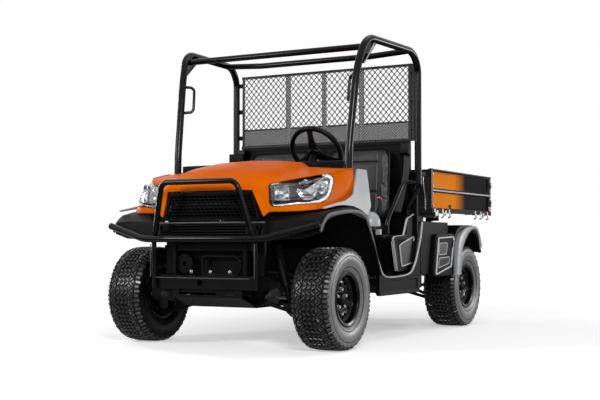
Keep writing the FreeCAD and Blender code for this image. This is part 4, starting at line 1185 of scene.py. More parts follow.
@dataclass
class HoodForm:
    """The hood's outer surface: a top field and rounded sides around it.

    stations: (y, height in the middle, ((x, z), ...)) of the top at five places along it.
    lower, belt: (x, y, z) around the left half of the edge and of the widest line.
    shoulder: (x, y) around the line where the top turns down.
    softening: rows on each side of the shoulder that each pass of smoothing takes.
    """

    stations: tuple = (
        (-346, 1010, ((180, 1006), (296, 988), (360, 952), (440, 925), (740, 872))),
        (-150, 1112, ((190, 1105), (318, 1087), (390, 1050), (545, 1046), (740, 1005))),
        (50, 1163, ((200, 1155), (336, 1134), (388, 1100), (668, 1080), (740, 1068))),
        (200, 1183, ((205, 1175), (344, 1158), (384, 1129), (690, 1106), (740, 1092))),
        (250, 1186, ((207, 1178), (347, 1161), (386, 1133), (700, 1112), (740, 1098))))
    shoulder: tuple = ((0, -334), (150, -331), (300, -320), (352, -302), (400, -278), (470, -226),
                       (545, -160), (610, -62), (660, 24), (678, 110), (690, 190), (698, 250))
    belt: tuple = ((0, -338, 985), (154, -335, 983), (310, -322, 972), (350, -308, 960),
                   (400, -296, 955), (490, -258, 955), (566, -224, 955), (648, -148, 955),
                   (682, -66, 955), (691, 40, 960), (701, 160, 972), (706, 250, 990))
    lower: tuple = ((0, -336, 966), (155, -334, 966), (309, -324, 964), (337, -306, 882),
                    (367, -291, 803), (402, -287, 832), (596, -228, 838), (664, -178, 846),
                    (688, -100, 856), (694, 75, 880), (700, 205, 925), (703, 250, 938))
    rear: float = 250
    spans: int = 11
    rows: int = 40
    drop_rows: int = 28
    softening: tuple[int, ...] = (5, 4, 3, 3, 2)

    def across(self, y: np.ndarray) -> tuple[np.ndarray, np.ndarray]:
        """Half section of the top.

        Args:
            y: places along the hood.

        Returns:
            x and z of the section's six points at each y.
        """
        keys = np.array([s[0] for s in self.stations])
        x = np.array([[0] + [p[0] for p in s[2]] for s in self.stations])
        z = np.array([[s[1]] + [p[1] for p in s[2]] for s in self.stations])
        return along(keys, x, y), along(keys, z, y)

    @staticmethod
    def between(table: np.ndarray, low: np.ndarray, part: np.ndarray) -> np.ndarray:
        """Entries between two columns of a table: (1 - part) v[low] + part v[low + 1].

        Args:
            table: rows x columns x points of a section.
            low: the lower point's number, in the table's first two dimensions.
            part: how far on towards the next point each column is.

        Returns:
            Rows x columns.
        """
        near, far = (np.take_along_axis(table, at[..., None], 2)[..., 0] for at in (low, low + 1))
        return near * (1 - part) + far * part

    def surface(self) -> np.ndarray:
        """The left half, rows from the rear edge over the shoulder to the lower edge.

        A column keeps its share k of the section, so that creases follow the columns:
        p(k, y) = (X(k, y), y, Z(k, y)) on top, then a cubic down through the belt to the edge.

        Returns:
            Rows x columns x 3.
        """
        count = len(self.shoulder)
        at = np.linspace(0, count - 1, (count - 1) * self.spans + 1)
        keys = np.arange(count)
        shoulder = along(keys, self.shoulder, at)
        belt = along(keys, self.belt, at)
        lower = np.stack([np.interp(at, keys, column) for column in np.array(self.lower).T], -1)
        x, _ = self.across(shoulder[:, 1])
        share = np.array([np.interp(p, row, np.arange(6)) for p, row in zip(shoulder[:, 0], x)])
        back = np.linspace(0, 1, self.rows)[:, None] ** 0.8
        y = self.rear + (shoulder[None, :, 1] - self.rear) * back
        x, z = (v.reshape(*y.shape, 6) for v in self.across(y.ravel()))
        low = np.minimum(share.astype(int), 4)
        part, low = share - low, np.broadcast_to(low, y.shape)
        top = np.stack((self.between(x, low, part), y, self.between(z, low, part)), -1)
        down = along([0, 1, 2], np.stack((top[-1], belt, lower)).reshape(3, -1),
                     np.linspace(0, 2, self.drop_rows + 1)[1:]).reshape(self.drop_rows, -1, 3)
        grid = np.concatenate((top, down))
        edge = len(top) - 1
        for width in self.softening:
            rows = slice(edge - width, edge + width + 1)
            before = slice(edge - width - 1, edge + width)
            after = slice(edge - width + 1, edge + width + 2)
            grid[rows] = 0.25 * grid[before] + 0.5 * grid[rows] + 0.25 * grid[after]
        return grid


@dataclass
class Headlight:
    """A lamp let into the hood's left corner, in its own frame: u along, z up, d outwards."""

    yaw_deg: float = 39.5
    middle: Pair = (560, -150)
    outline: tuple = ((-212, 985), (-192, 1006), (165, 1071), (203, 1056), (206, 1025), (172, 935),
                      (112, 888), (-186, 862), (-206, 882))
    form: np.ndarray = field(default_factory=lambda: HoodForm().surface().reshape(-1, 3))

    def __post_init__(self) -> None:
        """Turn the hood's points near the lamp into the lamp's frame."""
        yaw = math.radians(self.yaw_deg)
        self.u = np.array((math.cos(yaw), math.sin(yaw), 0))
        self.out = np.array((math.sin(yaw), -math.cos(yaw), 0))
        self.origin = np.array((*self.middle, 0))
        away = self.form - self.origin
        self.known = np.stack((away @ self.u, self.form[:, 2], away @ self.out), -1)
        near = (np.abs(self.known[:, 0]) < 260) & (self.known[:, 1] > 840) & (self.known[:, 2] > -140)
        self.known = self.known[near]

    def depth(self, at: np.ndarray) -> np.ndarray:
        """Hood surface behind the lamp: mean of what is near, weighted by distance ** -4.

        Args:
            at: (u, z) of each point.

        Returns:
            d of the hood at each.
        """
        gap = ((at[:, None, :2] - self.known[None, :, :2]) ** 2).sum(-1)
        weight = 1 / (gap + 4.0) ** 2
        return (weight * self.known[None, :, 2]).sum(1) / weight.sum(1)

    def place(self, u: np.ndarray, z: np.ndarray, d: np.ndarray) -> np.ndarray:
        """Points from lamp coordinates."""
        u, z, d = np.broadcast_arrays(u, z, d)
        return self.origin + u[..., None] * self.u + d[..., None] * self.out + z[..., None] * (0, 0, 1)

    def ring(self, inset: float, radius: float = 26) -> np.ndarray:
        """The lamp's outline with rounded corners: p + inset n, with n its inward normal.

        Args:
            inset: how far it is drawn in.
            radius: radius of the corners before that.

        Returns:
            (u, z) round it.
        """
        p = rounded(self.outline, radius, 7)
        middle = np.array((0.0, 962.0))
        ahead = unit(np.roll(p, -1, 0) - np.roll(p, 1, 0))
        inward = np.stack((-ahead[:, 1], ahead[:, 0]), -1)
        inward *= np.sign(((middle - p) * inward).sum(1, keepdims=True))
        return p + inward * inset

    def hole(self) -> np.ndarray:
        """Grid of a cutter through the hood in the lamp's outline."""
        ring = self.ring(0)
        return np.stack([self.place(ring[:, 0], ring[:, 1], np.float64(d)) for d in (-130, 160)])

    def band(self, insets: Sequence[float], depths: Sequence[float]) -> np.ndarray:
        """Rings that follow the hood's surface.

        Args:
            insets: how far each ring is drawn in.
            depths: how far each stands out, below 0 where it is sunk.

        Returns:
            Rings x points x 3.
        """
        rows = []
        for inset, depth in zip(insets, depths):
            ring = self.ring(inset)
            rows.append(self.place(ring[:, 0], ring[:, 1], self.depth(ring) + depth))
        return np.stack(rows)

    def build(self) -> None:
        """Make the lens, the housing and all that is seen in it, on both sides."""
        lens = Piece("headlight_lenses", Look.LENS, "hood", "lamp_glass")
        core = np.array((0.0, 962.0))
        ring = self.ring(4)
        shares = np.linspace(1, 0.04, 15)[:, None, None]
        flat = core + (ring - core) * shares
        depth = self.depth(flat.reshape(-1, 2)).reshape(flat.shape[:2])
        skin = self.place(flat[..., 0], flat[..., 1], depth - 1)
        lens.sheet(skin).add(skin[-1], np.arange(len(ring))[None])
        lens.add(skin[:, [0, -1]], grid_faces(len(skin), 2))
        lens.mirrored().build(smooth=60, thick=2.5, replaces=["headlights"])
        seal = Piece("headlight_seals", Look.MOULDED, "hood")
        seal.sheet(self.band((-1.5, 2.5, 4, 4, -1.5), (-2, -2, -3, -12, -12)), wrap_rows=True,
                   wrap_cols=True)
        seal.mirrored().build(smooth=30)
        frame_ring = Piece("headlight_chrome_frames", Look.CHROME, "hood")
        frame_ring.sheet(self.band((5, 8, 12, 14, 5), (-8, -6, -7, -24, -24)), wrap_rows=True,
                         wrap_cols=True)
        self.bowls(frame_ring)
        frame_ring.mirrored().build(smooth=35)
        tray = Piece("headlight_housings", Look.GREY, "hood")
        rows = self.band((13, 15, 22, 34), (-22, -30, -66, -82))
        tray.sheet(rows).add(rows[-1], np.arange(rows.shape[1])[None])
        tray.add(rows[:, [0, -1]], grid_faces(len(rows), 2))
        tray.mirrored().build(smooth=40, thick=2.5)
        self.guides()

    def bowls(self, piece: Piece) -> None:
        """Reflector bowls r(t) = R sqrt(t), d(t) = t depth, and their bulb shields.

        Args:
            piece: what to add them to.
        """
        t = np.linspace(0.02, 1, 9)
        for u, z, radius, deep, front in ((18, 965, 62, 52, -24), (-128, 940, 46, 30, -24),
                                          (122, 985, 40, 30, -26)):
            at = float(self.depth(np.array([(u, z)]))[0]) + front
            bowl = [(at - deep * (1 - s), radius * math.sqrt(s)) for s in t]
            back = [(a - 2.5, r) for a, r in bowl[::-1]]
            centre = self.place(np.float64(u), np.float64(z), np.float64(0))
            piece.spin(bowl + back, centre, self.out, sides=48)
            piece.spin([(at - deep, 0.1), (at - deep, 9), (at - deep * 0.55, 9), (at - deep * 0.45, 6),
                        (at - deep * 0.42, 0.1)], centre, self.out, sides=24)

    def guides(self) -> None:
        """White light guide with a painted glow round the outer end, an upright lamp box and ribs."""
        # the guide's own light is a painted glow; the lamp is not lit
        white = Piece("headlight_light_guides", Look.WHITE, "hood")
        path = curve([(128, 1056), (160, 1058), (186, 1046), (190, 1022), (178, 985), (160, 940),
                      (130, 912), (92, 898), (40, 892)], 40)
        width = np.interp(np.linspace(0, 1, 40), (0, 0.15, 0.8, 1), (4, 13, 12, 3))
        ahead = unit(np.gradient(path, axis=0))
        cross = np.stack((ahead[:, 1], -ahead[:, 0]), -1)
        rows = []
        for side, sink in ((-1, -20), (-1, -9), (-0.5, -6), (0.5, -6), (1, -9), (1, -20)):
            at = path + cross * (width * side)[:, None]
            rows.append(self.place(at[:, 0], at[:, 1], self.depth(at) + sink))
        white.sheet(np.stack(rows, 1), wrap_cols=True, caps=True)
        white.mirrored().build(smooth=50)
        ribs = Piece("headlight_ribs", Look.SILVER, "hood")
        for start, end in (((88, 1030), (150, 1042)), ((96, 1004), (158, 1020)),
                           ((-92, 905), (-92, 985)), ((-168, 905), (-172, 975)),
                           ((-168, 905), (-92, 905)), ((-172, 978), (-92, 988))):
            line = np.linspace(start, end, 5)
            at = self.place(line[:, 0], line[:, 1], self.depth(line) - 26)
            ribs.strip(at, [(-3, -9), (3, -9), (3, 9), (-3, 9)], up=self.out)
        ribs.mirrored().build(smooth=35, bevel=0.8)


@dataclass
class Hood:
    """Painted hood with the lamps' holes, and the hinge lugs under its rear edge."""

    wall: float = 5.0
    lugs: Numbers = (-223, -179, 177, 221)

    def build(self) -> None:
        """Make the panel."""
        panel = Piece("hood_panel", Look.ORANGE, "hood").sheet(HoodForm().surface()).mirrored()
        made = panel.build(smooth=38, replaces=["hood"])
        cutter = Piece("lamp_cutter", Look.ORANGE, "hood")
        cutter.sheet(Headlight().hole(), wrap_cols=True, caps=True).mirrored()
        carved(made, cutter.build())
        made.data.set_sharp_from_angle(angle=math.radians(38))
        wall = made.modifiers.new("wall", "SOLIDIFY")
        wall.thickness, wall.offset = self.wall / 1000, -1.0
        hinge = Piece("hood_hinge_lugs", Look.CHASSIS, "hood")
        for x in self.lugs:
            hinge.prism([(210, 1176), (210, 1150), (256, 1146), (266, 1158), (256, 1170)], x, x + 8)
        hinge.build(bevel=1.5)


@dataclass
class Grille:
    """Frame, slats and staggered posts let into the hood's mouth, with a radiator screen behind."""

    top: float = 957.0
    foot: float = 785.0
    pitch: float = 19.0

    def half(self, z: float) -> float:
        """Half width of the mouth's inside at a height."""
        return min(301 + (962 - z) * 0.29, 350)

    def front(self, x: np.ndarray) -> np.ndarray:
        """y of the grille's face: y = -322 + 26 (x / 340) ** 2."""
        return -322 + 26 * (np.asarray(x) / 340) ** 2

    def line(self, z: float, reach: float, count: int = 21) -> np.ndarray:
        """A level line along the face."""
        x = np.linspace(-reach, reach, count)
        return np.stack((x, self.front(x), np.full(count, z)), -1)

    def build(self) -> None:
        """Make the frame, slats and screen."""
        frame_piece = Piece("grille_frame", Look.MOULDED, "hood")
        bar = [(-8, -7), (8, -7), (8, 7), (-8, 7)]
        for z in (self.foot + 6, self.top - 6):
            frame_piece.strip(self.line(z, self.half(z)), bar, up=(0, 0, 1))
        for side in (-1, 1):
            ends = [(side * (self.half(z) - 6), float(self.front(self.half(z))), z)
                    for z in (self.foot, self.top)]
            frame_piece.beam(*ends, 14, 16, up=(0, 1, 0))
        rows = int((self.top - self.foot - 30) // self.pitch)
        for row in range(rows + 1):
            z = self.foot + 20 + row * self.pitch
            reach = self.half(z) - 8
            slat = [(-9, -1.5), (4, -3.5), (7, -2), (7, 2), (4, 3.5), (-9, 1.5)]
            frame_piece.strip(self.line(z, reach), slat, up=(0, 0, 1))
            if row == rows:
                break
            step = 33.0
            x = np.arange(-reach + (row % 2) * step / 2, reach, step)
            for at in x:
                y = float(self.front(at))
                frame_piece.block((at - 2, y - 3, z), (at + 2, y + 6, z + self.pitch))
        frame_piece.build(smooth=30, replaces=["grille"])
        screen = Piece("grille_screen", Look.SMOOTH_BLACK, "hood")
        back = [self.line(z, self.half(z)) + (0, 13, 0) for z in (self.foot, self.top)]
        screen.sheet(np.stack(back))
        screen.build(thick=3)


# ---------- cab


@dataclass
class RearScreen:
    """Perforated screen behind the seats: diamonds above, fine holes below, stiffened edges."""

    face: float = 1194.0
    foot: float = 1360.0
    middle: float = 1502.0
    top: float = 1908.0
    half: float = 703.0
    fine_cell: float = 13.0
    # inner edges of the four panels, right to left, and their half cells across
    panels: tuple = ((-681, -316, 17), (-274, -12, 12), (26, 290, 12), (331, 676, 16))

    def lattice(self, piece: Piece, x: Pair, z: Pair,
                cells: tuple[int, int], share: float) -> None:
        """Diamond cells with holes: corner k at c + h e(k), hole at share of that, cut at the edge.

        Args:
            piece: what to add to.
            x: left and right end.
            z: lower and upper end.
            cells: number of half cells across and up.
            share: size of the hole in its cell.
        """
        hx, hz = (x[1] - x[0]) / cells[0], (z[1] - z[0]) / cells[1]
        i, j = np.meshgrid(np.arange(cells[0] + 1), np.arange(cells[1] + 1), indexing="ij")
        keep = (i + j) % 2 == 0
        centre = np.stack((x[0] + i[keep] * hx, z[0] + j[keep] * hz), -1)
        corner = np.array([(1, 0), (0, 1), (-1, 0), (0, -1)], float)
        following = np.roll(corner, -1, 0)
        near = share * (0.88 * corner + 0.12 * following)
        far = share * (0.12 * corner + 0.88 * following)
        shape = np.concatenate((corner, np.stack((near, far), 1).reshape(-1, 2)))
        flat = centre[:, None] + shape[None] * (hx, hz)
        flat = np.clip(flat, (x[0], z[0]), (x[1], z[1]))
        count = len(shape)
        points = np.stack((flat[..., 0], np.full(flat.shape[:2], self.face), flat[..., 1]), -1)
        base = np.arange(len(centre))[:, None, None] * count
        quads = np.array([(k, (k + 1) % 4, 4 + 2 * k + 1, 4 + 2 * k) for k in range(4)])
        tips = np.array([(k, 4 + 2 * k, 4 + (2 * k - 1) % 8) for k in range(4)])
        piece.add(points, (quads[None] + base).reshape(-1, 4), (tips[None] + base).reshape(-1, 3))

    def rect(self, piece: Piece, x0: float, x1: float, z0: float, z1: float) -> None:
        """Plain part of the sheet."""
        grid = [[(x0, self.face, z0), (x1, self.face, z0)], [(x0, self.face, z1), (x1, self.face, z1)]]
        piece.sheet(np.array(grid, float))

    def build(self) -> None:
        """Make the sheet, its folded edges, its bolts and the brackets that hold it."""
        sheet = Piece("rear_screen_sheet", Look.SCREEN)
        inner = self.foot + 17
        for x0, x1, across in self.panels:
            self.lattice(sheet, (x0, x1), (self.middle, 1889), (across, 16), 0.82)
            self.rect(sheet, x0, x1, self.middle - 8, self.middle)
            fine = (2 * round((x1 - x0) / self.fine_cell), 20)
            self.lattice(sheet, (x0, x1), (inner, self.middle - 8), fine, 0.44)
        for (_, x0, _), (x1, _, _) in zip(self.panels[:-1], self.panels[1:]):
            self.lattice(sheet, (x0, x1), (inner, 1889), (4, 50), 0.42)
        made = sheet.build(thick=2, replaces=["rear_screen"])
        made.modifiers["wall"].use_even_offset = False
        edge = Piece("rear_screen_edges", Look.SCREEN)
        for x, low, high in ((-692, -700, -679), (687, 687, 705)):
            edge.block((x, 1185, self.foot), (x + 11, 1199, self.top))
            edge.block((low, 1196, self.foot), (high, 1199, self.top))
        edge.block((674, 1190, self.foot), (722, 1193, self.top - 6))
        for z in (self.foot, self.top - 19):
            edge.block((-self.half, 1192, z), (self.half, 1199, z + 19))
        edge.block((-self.half, 1184, self.foot), (self.half, 1194, self.foot + 8))
        edge.build(bevel=1.2)
        bolts = Piece("rear_screen_bolts", Look.CHASSIS)
        spots = [(x, 1191, z) for z in (self.foot + 12, self.top - 9) for x in
                 (-640, -420, -240, -60, 60, 240, 420, 640)]
        bolts.hexes(spots, (0, -1, 0), 12, 6)
        tabs = [(side * 700, 1191, z) for side in (-1, 1) for z in (1440, 1640, 1840)]
        bolts.hexes(tabs, (0, -1, 0), 13, 7)
        for side in (-1, 1):
            for z in (1440, 1640, 1840):
                low, high = sorted((side * 694, side * 735))
                bolts.block((low, 1192, z - 16), (high, 1196, z + 16))
        bolts.build(smooth=25, bevel=0.6)


@dataclass
class CabBack:
    """Pressed panel under the screen, with stiffening ribs, and the seat belts on it.

    rib is a rib's half width, then its y and z from and to.
    """

    panel: tuple = ((-694, 1188, 870), (694, 1194, 1362))
    ribs: Numbers = (-655, -585, 12, 628, 668)
    rib: Numbers = (4, 1182, 1190, 880, 1352)
    top_rib: tuple = ((-694, 1180, 1338), (694, 1190, 1362))
    belt: tuple = ((672, 1176, 1290), (668, 1168, 1150), (655, 1120, 980), (640, 1080, 860))
    webbing: Pair = (23, 0.8)
    reel: tuple = (((1128, 1262), (1184, 1262), (1184, 1345), (1128, 1345)), (640, 700))
    buckles: Pair = (-140, 190)

    def build(self) -> None:
        """Make the panel, its ribs and the belts."""
        panel = Piece("cab_back_panel", Look.MOULDED).block(*self.panel)
        half, y0, y1, z0, z1 = self.rib
        for x in self.ribs:
            panel.block((x - half, y0, z0), (x + half, y1, z1))
        panel.block(*self.top_rib)
        panel.build(bevel=1.5)
        self.belts()

    def belts(self) -> None:
        """Make the webbing, reels, buckles and stalks."""
        belt = Piece("belt_webbing", Look.VINYL)
        wide, thin = self.webbing
        for side in (-1, 1):
            run = curve(np.array(self.belt) * (side, 1, 1), 24)
            belt.strip(run, [(-wide, -thin), (wide, -thin), (wide, thin), (-wide, thin)],
                       up=(0, 1, 0.2))
        belt.build(smooth=50)
        reel = Piece("belt_reels", Look.SMOOTH_BLACK)
        outline, span = self.reel
        for side in (-1, 1):
            reel.prism(rounded(outline, 12), *sorted(side * x for x in span))
        reel.build(smooth=40, bevel=3, segments=3)
        buckle = Piece("belt_buckles", Look.RED)
        stalk = Piece("belt_stalks", Look.SMOOTH_BLACK)
        for x in self.buckles:
            buckle.block((x - 14, 1010, 826), (x + 14, 1018, 846))
            stalk.block((x - 17, 1004, 770), (x + 17, 1024, 828))
        buckle.build(bevel=1.5)
        stalk.build(bevel=3, segments=3)


@dataclass(frozen=True)
class PadForm:
    """One pad: its section in (y, z), its middle and half width in x, and where its face looks."""

    name: str
    node: str
    middle: float
    half: float
    section: tuple
    facing: Pair


@dataclass
class Seats:
    """Four stuffed pads: a cushion and a back at each place.

    cap is how far the stuffing may move a point, seam the depth and half width of a sewn channel,
    and field_share the half width of the middle field as a share of the pad's.
    """

    places: tuple = (("driver", 330, 246), ("passenger", -270, 306))
    cushion: tuple = ((822, 730), (822, 776), (852, 792), (1010, 780), (1140, 778), (1150, 712),
                      (836, 708))
    back: tuple = ((1064, 802), (1078, 900), (1098, 1180), (1106, 1318), (1144, 1318), (1146, 1240),
                   (1136, 802))
    voxel: float = 7.0
    cap: float = 16.0
    pressure: float = 4.0
    stiffness: float = 30.0
    steps: int = 20
    seam: Pair = (7.0, 7.0)
    seam_most: float = 9.0
    field_share: float = 0.64
    cushion_seams: Numbers = (935, 1060)
    back_seams: Numbers = (1000, 1210)
    cord: float = 4.5

    def forms(self) -> list[PadForm]:
        """Lay out the pads.

        Returns:
            A cushion and a back for each place.
        """
        made = []
        for place, middle, half in self.places:
            made.append(PadForm(place + "_cushion", "seat_cushions", middle, half, self.cushion, (0, 1)))
            made.append(PadForm(place + "_back", "seat_backs", middle, half, self.back, (-1, 0.12)))
        return made

    def start(self, form: PadForm) -> bpy.types.Object:
        """Closed form p(s, t) = c + (o(t) - c) (1 - |s|^7)^(1/5), x = m + w s.

        Args:
            form: the pad.

        Returns:
            The pad's object before it is stuffed.
        """
        outline = rounded(form.section, 22, 8)
        core = (outline.max(0) + outline.min(0)) / 2
        s = np.sin(np.linspace(-1, 1, 61) * math.pi / 2)
        share = np.maximum(1 - np.abs(s) ** 7, 0.0) ** (1 / 5)
        yz = core + (outline[None] - core) * np.maximum(share, 0.05)[:, None, None]
        x = np.broadcast_to((form.middle + form.half * s)[:, None, None], (*yz.shape[:2], 1))
        piece = Piece(form.name, Look.VINYL, "chassis", "seat_vinyl")
        piece.sheet(np.concatenate((x, yz), -1), wrap_cols=True, caps=True)
        return piece.build(smooth=180)

    def inflate(self, made: bpy.types.Object) -> None:
        """Stuff a pad: cloth under pressure, then each move m held within the cap C.

        A move is scaled by the lesser of 1 and (C / |m|) tanh(|m| / C).

        Args:
            made: the pad.
        """
        grid = made.modifiers.new("even", "REMESH")
        grid.mode, grid.voxel_size = "VOXEL", self.voxel / 1000
        self.apply(made)
        start = np.empty(len(made.data.vertices) * 3)
        made.data.vertices.foreach_get("co", start)
        cloth = made.modifiers.new("stuffing", "CLOTH")
        cloth.settings.use_pressure = True
        cloth.settings.uniform_pressure_force = self.pressure
        cloth.settings.effector_weights.gravity = 0.0
        cloth.settings.tension_stiffness = self.stiffness
        cloth.settings.compression_stiffness = self.stiffness
        cloth.collision_settings.use_self_collision = False
        for step in range(1, self.steps + 1):
            bpy.context.scene.frame_set(step)
        self.apply(made)
        bpy.context.scene.frame_set(1)
        start = start.reshape(-1, 3)
        now = np.empty(start.size)
        made.data.vertices.foreach_get("co", now)
        move = now.reshape(-1, 3) - start
        length = np.linalg.norm(move, axis=1, keepdims=True)
        cap = self.cap / 1000
        move *= np.minimum(1, cap / np.maximum(length, 1e-9) * np.tanh(length / cap))
        made.data.vertices.foreach_set("co", (start + move).ravel())

    @staticmethod
    def apply(made: bpy.types.Object) -> None:
        """Put the evaluated mesh in place of the mesh and drop the modifiers.

        Args:
            made: the object.
        """
        bpy.context.view_layer.update()
        seen = made.evaluated_get(bpy.context.evaluated_depsgraph_get())
        mesh = bpy.data.meshes.new_from_object(seen)
        made.modifiers.clear()
        old, made.data = made.data, mesh
        bpy.data.meshes.remove(old)

    def seams(self, made: bpy.types.Object, form: PadForm) -> None:
        """Sewn channels: depth a exp(-(g / w)^2) for a gap g to the seam, on the pad's face.

        Args:
            made: the pad's object.
            form: the pad.
        """
        mesh = made.data
        place, normal = (np.empty(len(mesh.vertices) * 3) for _ in range(2))
        mesh.vertices.foreach_get("co", place)
        mesh.vertices.foreach_get("normal", normal)
        place, normal = place.reshape(-1, 3), normal.reshape(-1, 3)
        mm = place * 1000 - (0, AXLE_Y, 0)
        facing = unit(np.array((0, *form.facing)))
        front = np.clip(normal @ facing * 1.6, 0, 1)
        across = np.abs(mm[:, 0] - form.middle)
        inner = form.half * self.field_share
        is_back = bool(form.facing[0])
        run = mm[:, 2] if is_back else mm[:, 1]
        far = 99.0
        gaps = [across - inner]
        for at in self.back_seams if is_back else self.cushion_seams:
            gaps.append(np.where(across < inner, run - at, far))
        most, wide = self.seam
        depth = sum(most * np.exp(-(gap / wide) ** 2) for gap in gaps)
        mm -= (normal * (front * np.minimum(depth, self.seam_most))[:, None])
        mesh.vertices.foreach_set("co", (to_row(mm)).ravel())
        mesh.update()

    @staticmethod
    def edge_path(form: PadForm) -> np.ndarray:
        """The piping's line round a pad's face, 6 mm inside its edge.

        On a back it follows the face's slope, y = 1070 + 0.078 (z - 802).

        Args:
            form: the pad.

        Returns:
            Points of the closed line.
        """
        half = form.half - 6
        if form.facing[0]:
            ring = rounded([(-half, 822), (half, 822), (half, 1306), (-half, 1306)], 60, 10)
            y = 1064 + (ring[:, 1] - 802) * 0.078 + 6
            return np.stack((ring[:, 0] + form.middle, y, ring[:, 1]), -1)
        ring = rounded([(-half, 838), (half, 838), (half, 1130), (-half, 1130)], 40, 10)
        return np.stack((ring[:, 0] + form.middle, ring[:, 1], np.full(len(ring), 779.0)), -1)

    def build(self) -> None:
        """Make every pad and the piping round it."""
        piping = Piece("seat_piping", Look.SMOOTH_BLACK, "chassis", "seat_vinyl")
        for form in self.forms():
            made = self.start(form)
            self.inflate(made)
            self.seams(made, form)
            made.data.polygons.foreach_set("use_smooth", np.ones(len(made.data.polygons), bool))
            soft = made.modifiers.new("soft", "SUBSURF")
            soft.levels = soft.render_levels = 1
            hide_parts(form.node)
            piping.tube(self.edge_path(form), self.cord, 8, closed=True)
        piping.build()


@dataclass
class Cockpit:
    """Steering wheel, instruments, lever, console dome and a box on the right-hand pillar."""

    centre: Point = (290, 530, 1258)
    tilt_deg: float = 36.0
    ring: float = 175.0

    def build(self) -> None:
        """Make the wheel and what stands round it."""
        tilt = math.radians(self.tilt_deg)
        # the wheel's axis, its up and its right as the driver sees them
        axis = np.array((0, -math.cos(tilt), -math.sin(tilt)))
        up = np.array((0, -math.sin(tilt), math.cos(tilt)))
        right = np.array((-1.0, 0, 0))
        middle = np.array(self.centre, float)
        wheel = Piece("steering_wheel_rim", Look.SMOOTH_BLACK, "steering_wheel")
        t = np.linspace(0, 2 * math.pi, 72, endpoint=False)[:, None]
        around = middle + self.ring * (np.cos(t) * right + np.sin(t) * up)
        # finger waves below sin t = 0.2
        waves = 1.0 * np.cos(18 * t[:, 0]) * (np.sin(t[:, 0]) < 0.2)
        wheel.tube(around, 18.0 + waves, 18, closed=True)
        for turn in (90, 210, 330):
            a = math.radians(turn)
            way = math.cos(a) * right + math.sin(a) * up
            side = -math.sin(a) * right + math.cos(a) * up
            line = np.array([middle + way * r + axis * d for r, d in
                             ((30, 30), (70, 26), (120, 12), (170, 0))])
            width = np.array((36, 28, 20, 22))
            t8 = np.linspace(0, 2 * math.pi, 16, endpoint=False)[None, :, None]
            rows = (line[:, None] + np.cos(t8) * width[:, None, None] * side
                    + np.sin(t8) * 6.5 * axis)
            wheel.sheet(rows, wrap_cols=True, caps=True)
        wheel.spin([(40, 0.1), (40, 34), (30, 42), (18, 44), (8, 40), (2, 28), (0, 0.1)], middle, axis,
                   sides=48)
        wheel.build(smooth=40, replaces=["steering_wheel"])
        dash = Piece("dash_instruments", Look.SMOOTH_BLACK)
        dash.prism(rounded([(392, 1076), (398, 1132), (446, 1138), (500, 1112), (504, 1072)], 9),
                   150, 430)
        dash.build(smooth=40, bevel=5, segments=3)
        face = Piece("instrument_face", Look.GREY)
        face.prism(rounded([(196, 1086), (384, 1086), (384, 1122), (196, 1122)], 8), 500, 507, "XZ")
        face.build(bevel=1.5)
        knob = Piece("lever_knob", Look.RED)
        knob.spin([(-14, 0.1), (-13, 9), (-6, 14), (4, 15), (12, 10), (15, 0.1)], (640, 772, 944),
                  (0.3, -0.2, 1), sides=24)
        knob.build(smooth=60)
        lever = Piece("range_lever", Look.GLOSS_BLACK)
        lever.tube(bent_path([(600, 720, 730), (622, 746, 840), (638, 769, 932)], [60]), 6, 14)
        lever.build()
        dome = Piece("console_dome", Look.SILVER)
        dome.spin([(-6, 0.1), (-6, 70), (30, 66), (62, 50), (80, 28), (86, 0.1)], (606, 700, 770),
                  (0.1, -0.1, 1), sides=40)
        dome.block((640, 712, 700), (672, 740, 736))
        dome.build(smooth=60, bevel=1.5)
        box = Piece("pillar_boxes", Look.MOULDED)
        box.prism(rounded([(1110, 1235), (1176, 1235), (1176, 1315), (1110, 1315)], 10), -765, -640)
        box.build(smooth=40, bevel=3)


# ---------- body trim


